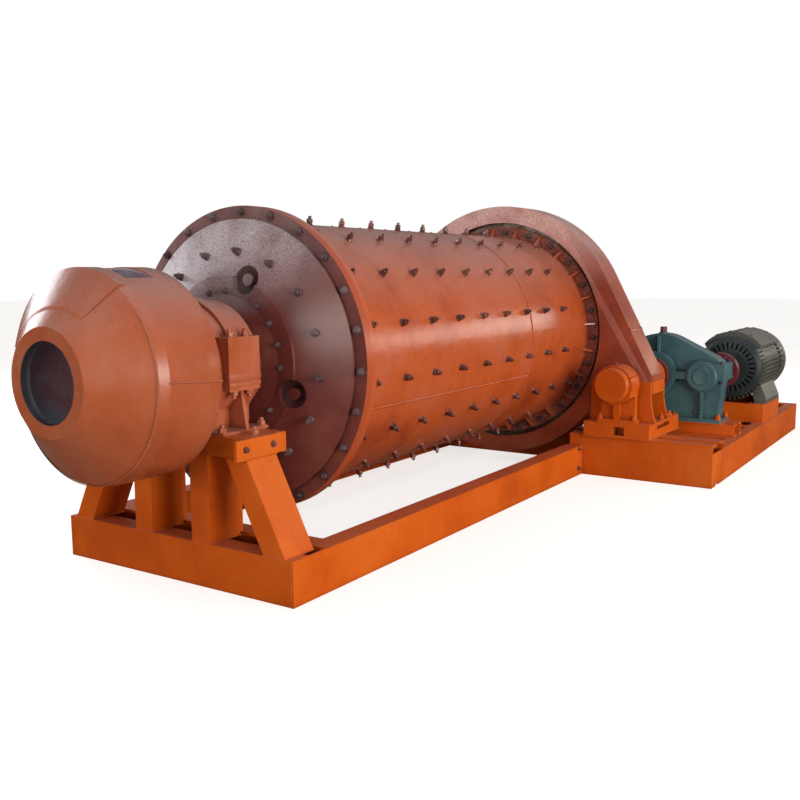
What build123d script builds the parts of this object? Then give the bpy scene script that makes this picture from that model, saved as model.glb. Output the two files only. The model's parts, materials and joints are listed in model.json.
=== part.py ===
from build123d import *
from math import acos, atan2, cos, hypot, pi, radians, sin, sqrt, tan
import os

os.makedirs("parts", exist_ok=True)

# A ball mill on its welded base: a bolted drum on two trunnion bearings, fed through a drum
# feeder, and turned by a ring gear, a pinion, a gear reducer and an electric motor.
# Millimetres. X runs from the feed end to the discharge end, Y is level, Z is up.
# The origin is on the floor, in the middle of the footprint.
# Stations along X are counted from the outer face of the feed head's bolting flange.

# Drum
flange_r = 668
shell_flange_width = 64
shell_wall = 12
shell_length = 2468
head_flange = 40
shell_flange = 28
spigot_depth = 30
bore_seat = 0.5
gusset_count = 24
gusset_angle = 9.7
gusset_thickness = 10
gusset_length = 58
gusset_edge = 5
gusset_root = 1

# Manhole cover on the side away from the drive
manhole_length = 420
manhole_width = 360
manhole_angle = 14
manhole_corner = 60
manhole_border = 70
manhole_pad = 14
manhole_rise = 22
saddle_depth = 96

# Heads: a conical plate that rises to a hub, with four dished recesses round plugs
land_width = 56
cone_rise = 91
hub_r = 372
hub_rise = 104
hub_inner_r = 290
hub_step = 20
land_step = 14
dish_circle_r = 370
dish_r = 60
dish_wall = 33
dish_depth = 52
plug_r = 26
plug_drop = 20
dish_angle = 18

# Trunnions and their bearings
trunnion_r = 180
trunnion_bore_r = 120
trunnion_shoulder_r = 215
shoulder_gap = 20
bearing_offset = 320
bearing_width = 250
running_clearance = 0.08
cap_r = 270
cap_band = 14
cap_band_width = 60
ear_width = 175
ear_reach = 305
ear_below = 77
ear_above = 134
pedestal_foot = 205
pedestal_taper = 80
rib_thickness = 18
rib_shift = -18
rib_spread = 295
pedestal_height = 233
sole_plate = 12
sole_margin = 5

# Feeder on the feed trunnion
feed_reach = 1000
mouth_r = 200
mouth_bore_r = 150
mouth_lip = 40
feeder_r = 405
feeder_shoulder = 155
feeder_bevel = 45
feeder_bevel_drop = 12
feeder_width = 220
feeder_wall = 10
scoop_bulge = 2
scoop_start = 58
scoop_sweep = 96
scoop_mouth_length = 130
scoop_mouth_width = 230
scoop_mouth_angle = 81
scoop_cut = 30

# Discharge spout
spout_reach = 620
spout_flare_r = 165
spout_wall = 10
spout_collar = 20
trunnion_end_length = 40

# Gearing, spur teeth
gear_module = 10
pinion_teeth = 28
pressure_angle = 20
dedendum = 12.5
gear_face = 150
pinion_overlap = 5
gear_rim = 40
gear_rim_gap = 50
gear_web = 32
gear_front = 32
web_fit = 3
backlash = 1.2

# Gear guard
guard_gear_gap = 30
guard_width = 210
guard_tip_gap = 14
guard_plate = 6
guard_bore_gap = 28
guard_side_gap = 13
guard_foot_rise = 8
guard_gap = 170
guard_floor_gap = 65
guard_knee_rise = 37
shaft_hole_gap = 8
facing = 10
fold_width = 38
fold_lip = 1
fold_inset = 82
fold_angle = 31.2

# Base frame under the drum, rolled channels
base_height = 180
base_flange = 100
base_half_width = 641
beam_pair_depth = 309
support_reach = 134
web = 9
flange = 12

# Supports under the two trunnion bearings
column_face = 130
column_width = 100
column_depth = 170
column_spread = 165
stiffener_width = 44
stiffener_depth = 50
cross_beam_height = 80
cross_beam_depth = 235
cross_beam_half = 406
cross_beam_shift = 10
cross_beam_wall = 14
bay_width = 24
end_plate = 14
end_plate_depth = 232
end_plate_lap = 50
strut_width = 108
strut_inset = 40

# Base frame under the drive
drive_height = 200
drive_flange = 75
drive_front_height = 250
drive_front_flange = 90
drive_front_lead = 119
drive_front_depth = 243
drive_front_inner = 560
drive_side_room = 250
drive_tail = 360
reducer_member_lead = 35
reducer_member_tail = 30
coupling_member_gap = 126
motor_member_front = 180
motor_member_rear = 680

# Pinion shaft, its bearings and their stand
pinion_shaft_r = 55
shaft_end_gap = 12
bearing_front_gap = 146
bearing_rear_gap = 134
pinion_bearing_width = 140
pinion_cap_r = 105
pinion_cap_depth = 40
pinion_cap_rim = 10
housing_wall = 11
housing_ear = 108
housing_ear_above = 55
housing_ear_below = 70
housing_body = 104
housing_rib = 40
housing_seat = 66
housing_web = 40
housing_foot = 120
housing_foot_plate = 22
shaft_tail = 25
stand_height = 90
stand_lead = 25
stand_tail = 15
stand_half = 205
cheek = 20
cheek_lap = 8
stand_band = 75
stand_band_plate = 12
cheek_straight = 80
stand_hole = 70
stand_hole_height = 52
stand_hole_rise = 14
stand_hole_shift = 16
stand_hole_depth = 80
stand_slot = 240
stand_slot_height = 26
stand_slot_rise = 48
stand_slot_depth = 30

# Reducer
reducer_depth = 215
reducer_wall = 140
reducer_centres = 320
reducer_height = 300
rail_height = 77
hood_shift = 32
hood_r = 264
hood_small_r = 136
split_flange = 24
split_reach = 262
split_overhang = 136
case_overhang = 122
case_taper = 32
case_far = 215
low_boss_r = 150
high_boss_r = 104
bolt_block_height = 84
bolt_block_length = 120
reducer_foot = 26
foot_overhang = 120
reducer_rib = 14
cover_rim = 8
cover_depth = 16
breather_r = 22
breather_height = 36
breather_seat_r = 30
breather_seat = 6
low_shaft_r = 45
high_shaft_r = 28

# Couplings
coupling_gap = 12
coupling_length = 63
coupling_r = 118
coupling_hub_r = 78
coupling_flange = 26
coupling_slit = 4
slit_depth = 16
high_coupling_r = 120
high_coupling_length = 140

# Motor, a foot-mounted frame with a shaft height of 250
coupling_space = 465
motor_shaft_seat = 60
motor_length = 800
motor_height = 250
motor_r = 235
fin_height = 22
fin_width = 7
fin_count = 48
shield_length = 70
shield_r = 212
shield_slots = 30
shield_hub_r = 118
slot_depth = 36
slot_width = 12
slot_end = 26
cowl_length = 180
cowl_r = 226
cowl_slots = 36
cowl_edge = 26
cowl_slot_depth = 24
cowl_slot_length = 52
top_cover = 12
top_cover_angle = 104
motor_foot_spread = 406
motor_foot_width = 78
motor_foot_length = 400
motor_foot_plate = 26
motor_foot_top = 144
motor_foot_lean = 44
foot_inset = 90
motor_stand_length = 520
motor_stand_width = 470
stand_lead_in = 20
stand_rail = 110
stand_cross = 40
rail_inset = 40
rail_width = 60

# Radii and stations worked out from the sizes above. The ring gear has the fewest teeth that clear
# the drum's flanges, the guard's foot stands clear of the floor, and the shaft is at the reducer's level.
shell_outer_r = flange_r - shell_flange_width
shell_bore_r = shell_outer_r - shell_wall
head_land_r = flange_r - land_width
shell_start = head_flange
shell_end = shell_start + shell_length
discharge_head = shell_end + gear_web
discharge_face = discharge_head + head_flange
feeder_back = feed_reach - feeder_shoulder - feeder_width
gear_teeth = 2 * round((flange_r + gear_rim_gap + gear_rim + dedendum) / gear_module)
gear_pitch_r = gear_module * gear_teeth / 2
gear_tip_r = gear_pitch_r + gear_module
gear_root_r = gear_pitch_r - dedendum
gear_rim_r = gear_root_r - gear_rim
gear_x = shell_end - gear_front
pinion_pitch_r = gear_module * pinion_teeth / 2
pinion_tip_r = pinion_pitch_r + gear_module
pinion_root_r = pinion_pitch_r - dedendum
guard_front = gear_x - guard_gear_gap
guard_back = guard_front + guard_width
guard_r = gear_tip_r + guard_tip_gap + guard_plate
guard_opening_r = flange_r + guard_bore_gap
fold_r = guard_r - fold_inset
axis_z = guard_r + guard_floor_gap
shaft_z = drive_height + rail_height + reducer_height
pinion_drop = axis_z - shaft_z
centre_distance = gear_pitch_r + pinion_pitch_r
pinion_side = sqrt(centre_distance**2 - pinion_drop**2)
guard_flank_y = pinion_side + pinion_tip_r + guard_side_gap
guard_flank_z = shaft_z + guard_foot_rise
guard_knee = guard_flank_z + guard_knee_rise - axis_z
guard_lean = acos(guard_r / hypot(guard_flank_y, guard_knee)) + atan2(guard_knee, guard_flank_y)
pinion_bearing_front = guard_front - bearing_front_gap
pinion_bearing_rear = guard_back + bearing_rear_gap
pinion_end = pinion_bearing_rear + pinion_bearing_width / 2 + shaft_tail
drive_front = guard_front - drive_front_lead
drive_start = drive_front + drive_front_depth
reducer_front = pinion_end + coupling_length + coupling_gap
reducer_back = reducer_front + reducer_depth
motor_front = reducer_back + coupling_space
motor_end = motor_front + motor_length
drive_reach = motor_end + drive_tail
near_reach = pinion_side + reducer_centres + drive_side_room
head_x = (feed_reach - drive_reach) / 2
mill_y = (near_reach - guard_r) / 2
shaft_y = mill_y - pinion_side
motor_y = shaft_y - reducer_centres
sole_top = axis_z - pedestal_height - sole_plate
base_front = -bearing_offset - support_reach
discharge_end = discharge_face + bearing_offset + support_reach
stand_top = drive_front_height + stand_height


def at(x, y, z):
    """A point given from the feed head's face, the drum axis and the floor."""
    return (head_x + x, mill_y + y, z)


def across(x, y=mill_y, z=axis_z):
    """A plane square to X at a station, seen from the discharge end, centred on an axis."""
    return Plane(origin=(head_x + x, y, z), x_dir=(0, 1, 0), z_dir=(1, 0, 0))


def meridian(angle, y=mill_y, z=axis_z):
    """A plane through an axis along X, turned up by an angle from the near side."""
    lift = radians(angle)
    return Plane(origin=(head_x, y, z), x_dir=(1, 0, 0), z_dir=(0, -sin(lift), -cos(lift)))


def x_axis(y=mill_y, z=axis_z):
    return Axis((head_x, y, z), (1, 0, 0))


def turned(profile, y=mill_y, z=axis_z, start=90, sweep=360):
    """A solid of revolution about an axis along X, from (x, radius) points."""
    with BuildPart() as solid:
        with BuildSketch(meridian(start, y, z)):
            with BuildLine():
                Polyline(*profile, close=True)
            make_face()
        revolve(axis=x_axis(y, z), revolution_arc=sweep)
    return solid.part


def plate(outline, x, thickness, y=mill_y, z=axis_z):
    """A plate square to X, from (y, z) points given from an axis."""
    with BuildPart() as sheet:
        with BuildSketch(across(x, y, z)):
            with BuildLine():
                Polyline(*outline, close=True)
            make_face()
        extrude(amount=thickness)
    return sheet.part


def bar(start, length, radius, y, z):
    """A round bar along X."""
    with BuildPart() as rod:
        with BuildSketch(across(start, y, z)):
            Circle(radius)
        extrude(amount=length)
    return rod.part


def slab(x, y, z, length, width, height):
    """A rectangular bar or pad, from its lowest corner, all given as in at()."""
    with BuildPart() as pad:
        with BuildSketch(Plane(origin=at(x, y, z))):
            Rectangle(length, width, align=(Align.MIN, Align.MIN))
        extrude(amount=height)
    return pad.part


def channel(corner, toes, length, height, width):
    """A rolled channel. corner is its web's lower outer corner, and it runs along toes x Z."""
    run = Vector(*toes).cross(Vector(0, 0, 1))
    with BuildPart() as beam:
        with BuildSketch(Plane(origin=corner, x_dir=toes, z_dir=run)):
            Rectangle(width, height, align=(Align.MIN, Align.MIN))
            with Locations((web, flange)):
                Rectangle(width, height - 2 * flange, align=(Align.MIN, Align.MIN), mode=Mode.SUBTRACT)
        extrude(amount=length)
    return beam.part


def keep(part, name):
    part.label = name
    export_step(part, f"parts/{name}.step")


# Shell: a rolled tube with a bolting flange at each end, gusseted at the gear's end
with BuildPart() as gusset:
    with BuildSketch(Plane.XZ):
        with BuildLine():
            Polyline(
                (shell_outer_r - gusset_root, shell_end - shell_flange),
                (flange_r - gusset_edge, shell_end - shell_flange),
                (flange_r - gusset_edge, shell_end - shell_flange - gusset_thickness),
                (shell_outer_r - gusset_root, shell_end - shell_flange - gusset_length),
                close=True,
            )
        make_face()
    extrude(amount=gusset_thickness / 2, both=True)

with BuildPart() as shell:
    add(turned([
        (shell_start, shell_bore_r),
        (shell_start, flange_r),
        (shell_start + shell_flange, flange_r),
        (shell_start + shell_flange, shell_outer_r),
        (shell_end - shell_flange, shell_outer_r),
        (shell_end - shell_flange, flange_r),
        (shell_end, flange_r),
        (shell_end, shell_bore_r),
    ]))
    with Locations(across(0)):
        with PolarLocations(0, gusset_count, start_angle=gusset_angle):
            add(gusset.part)
keep(shell.part, "shell")

# Manhole cover: a saddle pad and its lid on the shell, on the far side
manhole_lift = radians(manhole_angle)
manhole_plane = Plane(
    origin=at(
        (shell_start + shell_end) / 2,
        shell_outer_r * cos(manhole_lift),
        axis_z + shell_outer_r * sin(manhole_lift),
    ),
    x_dir=(1, 0, 0),
    z_dir=(0, cos(manhole_lift), sin(manhole_lift)),
)


def saddle(length, width, rise):
    """A rounded plate bent round the shell's outside, its top at a rise above the shell."""
    with BuildPart() as bent:
        with BuildSketch(manhole_plane.offset(-saddle_depth)):
            RectangleRounded(length, width, manhole_corner)
        extrude(amount=saddle_depth + 2 * rise)
        with BuildSketch(across(shell_start)):
            Circle(shell_outer_r + rise)
            Circle(shell_outer_r, mode=Mode.SUBTRACT)
        extrude(amount=shell_length, mode=Mode.INTERSECT)
    return bent.part


with BuildPart() as manhole_cover:
    add(saddle(manhole_length, manhole_width, manhole_pad))
    add(saddle(manhole_length - manhole_border, manhole_width - manhole_border, manhole_rise))
keep(manhole_cover.part, "manhole_cover")


def head(face, inward, trunnion_end):
    """A head with its hollow trunnion. face is its outer face, inward is +1 or -1 along X."""
    seat = shell_bore_r - bore_seat
    back = face + inward * head_flange
    neck = face - inward * (bearing_offset - bearing_width / 2 - shoulder_gap)
    hub = face - inward * hub_rise
    with BuildPart() as dish:
        with BuildSketch(Plane.XZ):
            with BuildLine():
                Polyline(
                    (0, -inward * dish_wall),
                    (dish_r, -inward * dish_wall),
                    (dish_r, inward * dish_wall),
                    (plug_r, inward * dish_depth),
                    (plug_r, inward * plug_drop),
                    (0, inward * plug_drop),
                    close=True,
                )
            make_face()
        revolve(axis=Axis.Z)
    with BuildPart() as casting:
        add(turned([
            (face, flange_r),
            (back, flange_r),
            (back, seat),
            (back + inward * spigot_depth, seat),
            (back + inward * spigot_depth, trunnion_bore_r),
            (trunnion_end, trunnion_bore_r),
            (trunnion_end, trunnion_r),
            (neck, trunnion_r),
            (neck, trunnion_shoulder_r),
            (hub - inward * hub_step, trunnion_shoulder_r),
            (hub, hub_inner_r),
            (hub, hub_r),
            (face - inward * cone_rise, hub_r),
            (face - inward * land_step, head_land_r),
            (face, head_land_r),
        ]))
        with Locations(across(hub)):
            with PolarLocations(dish_circle_r, 4, start_angle=dish_angle):
                add(dish.part, mode=Mode.SUBTRACT)
    return casting.part


keep(head(0, 1, -feeder_back), "feed_head")
spout_start = discharge_face + bearing_offset + bearing_width / 2 + trunnion_end_length
keep(head(discharge_face, -1, spout_start), "discharge_head")

# Feeder: a hollow drum with a thick mouth ring, bolted on the end of the feed trunnion.
# A scoop bulges out of its cone and opens through its rim.
shoulder_x = -feed_reach + feeder_shoulder
bevel_x = shoulder_x + feeder_bevel
scoop_mouth = Plane(
    origin=at((bevel_x - feeder_back) / 2, -feeder_r * cos(radians(scoop_mouth_angle)),
              axis_z + feeder_r * sin(radians(scoop_mouth_angle))),
    x_dir=(1, 0, 0),
    z_dir=(0, -cos(radians(scoop_mouth_angle)), sin(radians(scoop_mouth_angle))),
)
with BuildPart() as feeder:
    add(turned([
        (-feed_reach, mouth_bore_r),
        (-feed_reach, mouth_r),
        (shoulder_x, feeder_r - feeder_bevel_drop),
        (bevel_x, feeder_r),
        (-feeder_back, feeder_r),
        (-feeder_back, trunnion_bore_r),
        (-feeder_back - feeder_wall, trunnion_bore_r),
        (-feeder_back - feeder_wall, feeder_r - feeder_wall),
        (bevel_x, feeder_r - feeder_wall),
        (-feed_reach + mouth_lip, mouth_bore_r),
    ]))
    add(turned([
        (-feed_reach + mouth_lip / 2, mouth_r),
        (-feed_reach + feeder_shoulder / 3, (2 * mouth_r + feeder_r) / 3 + scoop_bulge),
        (-feed_reach + 2 * feeder_shoulder / 3, (mouth_r + 2 * feeder_r) / 3 + scoop_bulge),
        (shoulder_x, feeder_r),
        (bevel_x, feeder_r),
        (bevel_x, feeder_r - feeder_wall / 2),
        (shoulder_x, feeder_r - feeder_bevel_drop - feeder_wall / 2),
    ], start=scoop_start + scoop_sweep, sweep=scoop_sweep))
    with BuildSketch(scoop_mouth.offset(-scoop_cut)):
        Rectangle(scoop_mouth_length, scoop_mouth_width)
    extrude(amount=2 * scoop_cut, mode=Mode.SUBTRACT)
keep(feeder.part, "feeder")

# Discharge spout: a flared tube in the discharge trunnion's mouth
spout_end = discharge_face + spout_reach
with BuildPart() as discharge_spout:
    add(turned([
        (spout_start, trunnion_bore_r),
        (spout_start, trunnion_r),
        (spout_start + spout_collar, trunnion_r),
        (spout_start + spout_collar, trunnion_bore_r + spout_wall),
        (spout_end, spout_flare_r + spout_wall),
        (spout_end, spout_flare_r),
    ]))
keep(discharge_spout.part, "discharge_spout")


# Spur gears: each flank has points on the involute, so that meshed teeth only ever touch
def involute_angle(radius, base_r):
    roll = sqrt((radius / base_r) ** 2 - 1)
    return roll - atan2(roll, 1)


def tooth_outline(teeth, flank_radii, root_r):
    """Points of one tooth about the local x axis, from root to tip and back to root."""
    pitch_r = gear_module * teeth / 2
    base_r = pitch_r * cos(radians(pressure_angle))
    half_tooth = pi / (2 * teeth) - backlash / (4 * pitch_r)
    start = half_tooth + involute_angle(pitch_r, base_r)
    flank = [(r, start - involute_angle(max(r, base_r), base_r)) for r in flank_radii]
    flank.insert(0, (root_r, start - involute_angle(max(flank_radii[0], base_r), base_r)))
    up = [(r * cos(-a), r * sin(-a)) for r, a in flank]
    down = [(r * cos(a), r * sin(a)) for r, a in reversed(flank)]
    return up + down


def gear_outline(teeth, flank_radii, root_r, phase):
    points = []
    for i in range(teeth):
        turn = phase + 2 * pi * i / teeth
        for x, y in tooth_outline(teeth, flank_radii, root_r):
            points.append((x * cos(turn) - y * sin(turn), x * sin(turn) + y * cos(turn)))
    return points


contact_angle = atan2(-pinion_drop, -pinion_side)
with BuildPart() as ring_gear:
    with BuildSketch(across(gear_x)):
        with BuildLine():
            Polyline(
                *gear_outline(gear_teeth, [gear_pitch_r, gear_tip_r], gear_root_r, contact_angle),
                close=True,
            )
        make_face()
        Circle(gear_rim_r, mode=Mode.SUBTRACT)
    extrude(amount=gear_face)
    with BuildSketch(across(shell_end)):
        Circle(gear_rim_r)
        Circle(shell_outer_r + web_fit, mode=Mode.SUBTRACT)
    extrude(amount=gear_web)
keep(ring_gear.part, "ring_gear")

# Pinion and its shaft, a tooth space of it facing the ring gear's tooth
shaft_start = pinion_bearing_front - pinion_bearing_width / 2 + shaft_end_gap
pinion_phase = contact_angle + pi + pi / pinion_teeth
with BuildPart() as pinion:
    with BuildSketch(across(gear_x - pinion_overlap, shaft_y, shaft_z)):
        with BuildLine():
            Polyline(
                *gear_outline(pinion_teeth, [pinion_pitch_r, pinion_tip_r], pinion_root_r, pinion_phase),
                close=True,
            )
        make_face()
    extrude(amount=gear_face + 2 * pinion_overlap)
    add(bar(shaft_start, pinion_end - shaft_start, pinion_shaft_r, shaft_y, shaft_z))
keep(pinion.part, "pinion")


def coupling(start, length, flange_radius, y):
    """A pair of hubs whose flanges face each other across a slit."""
    middle = start + length / 2
    gap = coupling_slit / 2
    return turned([
        (start, 0),
        (start, coupling_hub_r),
        (middle - gap - coupling_flange, coupling_hub_r),
        (middle - gap - coupling_flange, flange_radius),
        (middle - gap, flange_radius),
        (middle - gap, flange_radius - slit_depth),
        (middle + gap, flange_radius - slit_depth),
        (middle + gap, flange_radius),
        (middle + gap + coupling_flange, flange_radius),
        (middle + gap + coupling_flange, coupling_hub_r),
        (start + length, coupling_hub_r),
        (start + length, 0),
    ], y, shaft_z)


# Low-speed coupling between the pinion shaft and the reducer, with the reducer's output shaft
with BuildPart() as low_speed_coupling:
    add(coupling(pinion_end, coupling_length, coupling_r, shaft_y))
    add(bar(reducer_front - coupling_gap, coupling_gap + reducer_depth / 2, low_shaft_r, shaft_y, shaft_z))
keep(low_speed_coupling.part, "low_speed_coupling")

# Motor line: the reducer's input shaft, the high-speed coupling and the motor shaft
coupling_start = (reducer_back + motor_front - high_coupling_length) / 2
high_shaft_start = reducer_front + reducer_depth / 2
with BuildPart() as high_speed_coupling:
    add(coupling(coupling_start, high_coupling_length, high_coupling_r, motor_y))
    add(bar(
        high_shaft_start, motor_front + motor_shaft_seat - high_shaft_start, high_shaft_r, motor_y, shaft_z
    ))
keep(high_speed_coupling.part, "high_speed_coupling")


# Trunnion supports, the same at both ends: outward is -1 at the feed end and +1 at the other
def column_pair(bearing_x, outward):
    """Box columns under the bearing, each with a narrower stiffener behind it."""
    outer = bearing_x + outward * column_face
    column = outer - outward * column_depth / 2
    stiffener = outer - outward * (column_depth + stiffener_depth / 2)
    with BuildPart() as columns:
        with BuildSketch(Plane(origin=at(0, 0, base_height))):
            with Locations((column, -column_spread), (column, column_spread)):
                Rectangle(column_depth, column_width)
            with Locations((stiffener, -column_spread), (stiffener, column_spread)):
                Rectangle(stiffener_depth, stiffener_width)
        extrude(amount=sole_top - cross_beam_height - base_height)
    return columns.part


def strut_pair(bearing_x, outward):
    """Sloping box struts from the base's corners to the ends of the cross beam."""
    start = min(bearing_x + outward * column_face, bearing_x + outward * (column_face - column_depth))
    low_y = base_half_width - strut_inset
    high_y = cross_beam_half + end_plate
    top_z = sole_top - cross_beam_height
    with BuildPart() as struts:
        for side in (-1, 1):
            add(plate([
                (side * low_y, base_height),
                (side * high_y, top_z),
                (side * (high_y - strut_width), top_z),
                (side * (low_y - strut_width), base_height),
            ], start, column_depth, z=0))
    return struts.part


def cross_beam(bearing_x, outward):
    """A box beam with end plates and an open bay in its outer wall next to each of them."""
    wall = cross_beam_wall
    lap_x = bearing_x + outward * (column_face + end_plate_lap)
    plate_x = min(lap_x, lap_x - outward * end_plate_depth)
    bottom = sole_top - cross_beam_height
    start = bearing_x + outward * cross_beam_shift - cross_beam_depth / 2
    bay_x = start if outward < 0 else start + cross_beam_depth - wall
    with BuildPart() as beam:
        add(slab(start, -cross_beam_half, bottom, cross_beam_depth, 2 * cross_beam_half, cross_beam_height))
        add(slab(
            start + wall, -cross_beam_half, bottom + wall,
            cross_beam_depth - 2 * wall, 2 * cross_beam_half, cross_beam_height - 2 * wall,
        ), mode=Mode.SUBTRACT)
        for side in (-1, 1):
            plate_y = side * (cross_beam_half + end_plate / 2) - end_plate / 2
            bay_y = side * (cross_beam_half - bay_width / 2) - bay_width / 2
            add(slab(plate_x, plate_y, bottom, end_plate_depth, end_plate, cross_beam_height))
            add(
                slab(bay_x, bay_y, bottom + wall, wall, bay_width, cross_beam_height - 2 * wall),
                mode=Mode.SUBTRACT,
            )
    return beam.part


def pedestal(bearing_x, outward):
    """Lower half of the trunnion bearing: a bored body with ears and ribs on a sole plate."""
    foot = -pedestal_height
    body = [
        (-cap_r, 0),
        (-cap_r, -ear_below),
        (-pedestal_foot, -ear_below - pedestal_taper),
        (-pedestal_foot, foot),
    ]
    rib = [(-cap_r, -ear_below), (-rib_spread, foot)]
    rib_x = bearing_x + outward * rib_shift - rib_thickness / 2
    with BuildPart() as casting:
        add(plate(body + [(-y, z) for y, z in reversed(body)], bearing_x - bearing_width / 2, bearing_width))
        add(plate(rib + [(-y, z) for y, z in reversed(rib)], rib_x, rib_thickness))
        with BuildSketch(across(bearing_x - ear_width / 2)):
            with Locations((0, -ear_below / 2)):
                Rectangle(2 * ear_reach, ear_below)
        extrude(amount=ear_width)
        with BuildSketch(Plane(origin=at(bearing_x, 0, sole_top))):
            Rectangle(bearing_width + 2 * sole_margin, 2 * ear_reach)
        extrude(amount=sole_plate)
        add(
            bar(bearing_x - bearing_width / 2, bearing_width, trunnion_r + running_clearance, mill_y, axis_z),
            mode=Mode.SUBTRACT,
        )
    return casting.part


def bearing_cap(bearing_x):
    """Upper half of the trunnion bearing: an arch with a raised band and a bolting ear each side."""
    with BuildPart() as casting:
        for radius, width in ((cap_r, bearing_width), (cap_r + cap_band, cap_band_width)):
            with BuildSketch(across(bearing_x - width / 2)):
                Circle(radius)
                with Locations((0, -radius / 2)):
                    Rectangle(2 * radius, radius, mode=Mode.SUBTRACT)
            extrude(amount=width)
        with BuildSketch(across(bearing_x - ear_width / 2)):
            with Locations((0, ear_above / 2)):
                Rectangle(2 * ear_reach, ear_above)
        extrude(amount=ear_width)
        add(
            bar(bearing_x - bearing_width / 2, bearing_width, trunnion_r + running_clearance, mill_y, axis_z),
            mode=Mode.SUBTRACT,
        )
    return casting.part


ends = (
    ("feed", -bearing_offset, -1),
    ("discharge", discharge_face + bearing_offset, 1),
)
for end, bearing_x, outward in ends:
    keep(column_pair(bearing_x, outward), f"{end}_columns")
    keep(strut_pair(bearing_x, outward), f"{end}_struts")
    keep(cross_beam(bearing_x, outward), f"{end}_cross_beam")
    keep(pedestal(bearing_x, outward), f"{end}_bearing_pedestal")
    keep(bearing_cap(bearing_x), f"{end}_bearing_cap")


# Base frame of rolled channels
def beam_pair(outer, outward):
    """Two cross channels, toe to toe with a gap between, under a pair of columns."""
    length = 2 * (base_half_width - web)
    inner = outer - outward * beam_pair_depth
    first = -outward * (base_half_width - web)
    with BuildPart() as pair:
        add(channel(at(outer, first, 0), (-outward, 0, 0), length, base_height, base_flange))
        add(channel(at(inner, -first, 0), (outward, 0, 0), length, base_height, base_flange))
    return pair.part


keep(beam_pair(base_front, -1), "feed_base_beams")
keep(beam_pair(discharge_end, 1), "discharge_base_beams")

# The long channels' flanges are coped where the cross channels run between them
cope = beam_pair_depth
toe_width = base_flange - web
with BuildPart() as near_long_beam:
    add(channel(
        at(base_front, -base_half_width, 0), (0, 1, 0), drive_front - base_front, base_height, base_flange
    ))
    add(slab(base_front, -base_half_width + web, 0, cope, toe_width, base_height), mode=Mode.SUBTRACT)
keep(near_long_beam.part, "near_long_beam")

with BuildPart() as far_long_beam:
    add(channel(
        at(discharge_end, base_half_width, 0), (0, -1, 0),
        discharge_end - base_front, base_height, base_flange,
    ))
    for start in (base_front, discharge_end - cope):
        add(slab(start, base_half_width - base_flange, 0, cope, toe_width, base_height), mode=Mode.SUBTRACT)
keep(far_long_beam.part, "far_long_beam")

# Drive base, beside the mill and taller at its front beams
front_span = near_reach - drive_front_inner
with BuildPart() as drive_front_beams:
    for x, y, toes in ((drive_front, -drive_front_inner, 1), (drive_start, -near_reach, -1)):
        add(channel(at(x, y, 0), (toes, 0, 0), front_span, drive_front_height, drive_front_flange))
keep(drive_front_beams.part, "drive_front_beams")

with BuildPart() as drive_near_beam:
    add(channel(
        at(drive_start, -near_reach, 0), (0, 1, 0), drive_reach - drive_start, drive_height, drive_flange
    ))
keep(drive_near_beam.part, "drive_near_beam")

with BuildPart() as drive_inner_beam:
    add(channel(
        at(drive_reach, -base_half_width, 0), (0, -1, 0),
        drive_reach - drive_start, drive_height, drive_flange,
    ))
keep(drive_inner_beam.part, "drive_inner_beam")

# Cross members: their webs stand at these stations, and their toes point along X as signed
cross_members = (
    (reducer_front - reducer_member_lead, 1),
    (reducer_back - reducer_member_tail, 1),
    (motor_front - coupling_member_gap, -1),
    (motor_front + motor_member_front, 1),
    (motor_front + motor_member_rear, -1),
    (drive_reach, -1),
)
cross_span = near_reach - base_half_width - 2 * drive_flange
with BuildPart() as drive_cross_members:
    for x, toes in cross_members:
        start = -base_half_width - drive_flange if toes > 0 else -near_reach + drive_flange
        add(channel(at(x, start, 0), (toes, 0, 0), cross_span, drive_height, drive_flange))
keep(drive_cross_members.part, "drive_cross_members")


# Gear guard: two plates and the rim between them, with a straight flank down to the pinion
def guard_face(radius):
    """The guard's side view: a disc with a tangent flank that ends over the pinion stand."""
    shrink = guard_r - radius
    touch = (-radius * cos(guard_lean), radius * sin(guard_lean))
    side = -guard_flank_y + shrink
    knee = touch[1] + (side - touch[0]) / tan(guard_lean)
    foot = guard_flank_z - axis_z
    with BuildSketch() as face:
        Circle(radius)
        with BuildLine():
            Polyline((0, 0), touch, (side, knee), (side, foot), (0, foot), close=True)
        make_face()
    return face.sketch


def guard_plate_at(x, thickness):
    """A side plate of the guard, open round the drum and notched over the pinion shaft."""
    with BuildPart() as sheet:
        with BuildSketch(across(x)):
            add(guard_face(guard_r))
            Circle(guard_opening_r, mode=Mode.SUBTRACT)
            with Locations((-pinion_side, -pinion_drop)):
                Circle(pinion_shaft_r + shaft_hole_gap, mode=Mode.SUBTRACT)
        extrude(amount=thickness)
    return sheet.part


def along_fold(lift, run):
    """A point of the front plate, from its fold line: lift outwards and run along the line."""
    lean = radians(fold_angle)
    reach = fold_r + lift
    return (-reach * cos(lean) + run * sin(lean), reach * sin(lean) + run * cos(lean))


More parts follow.
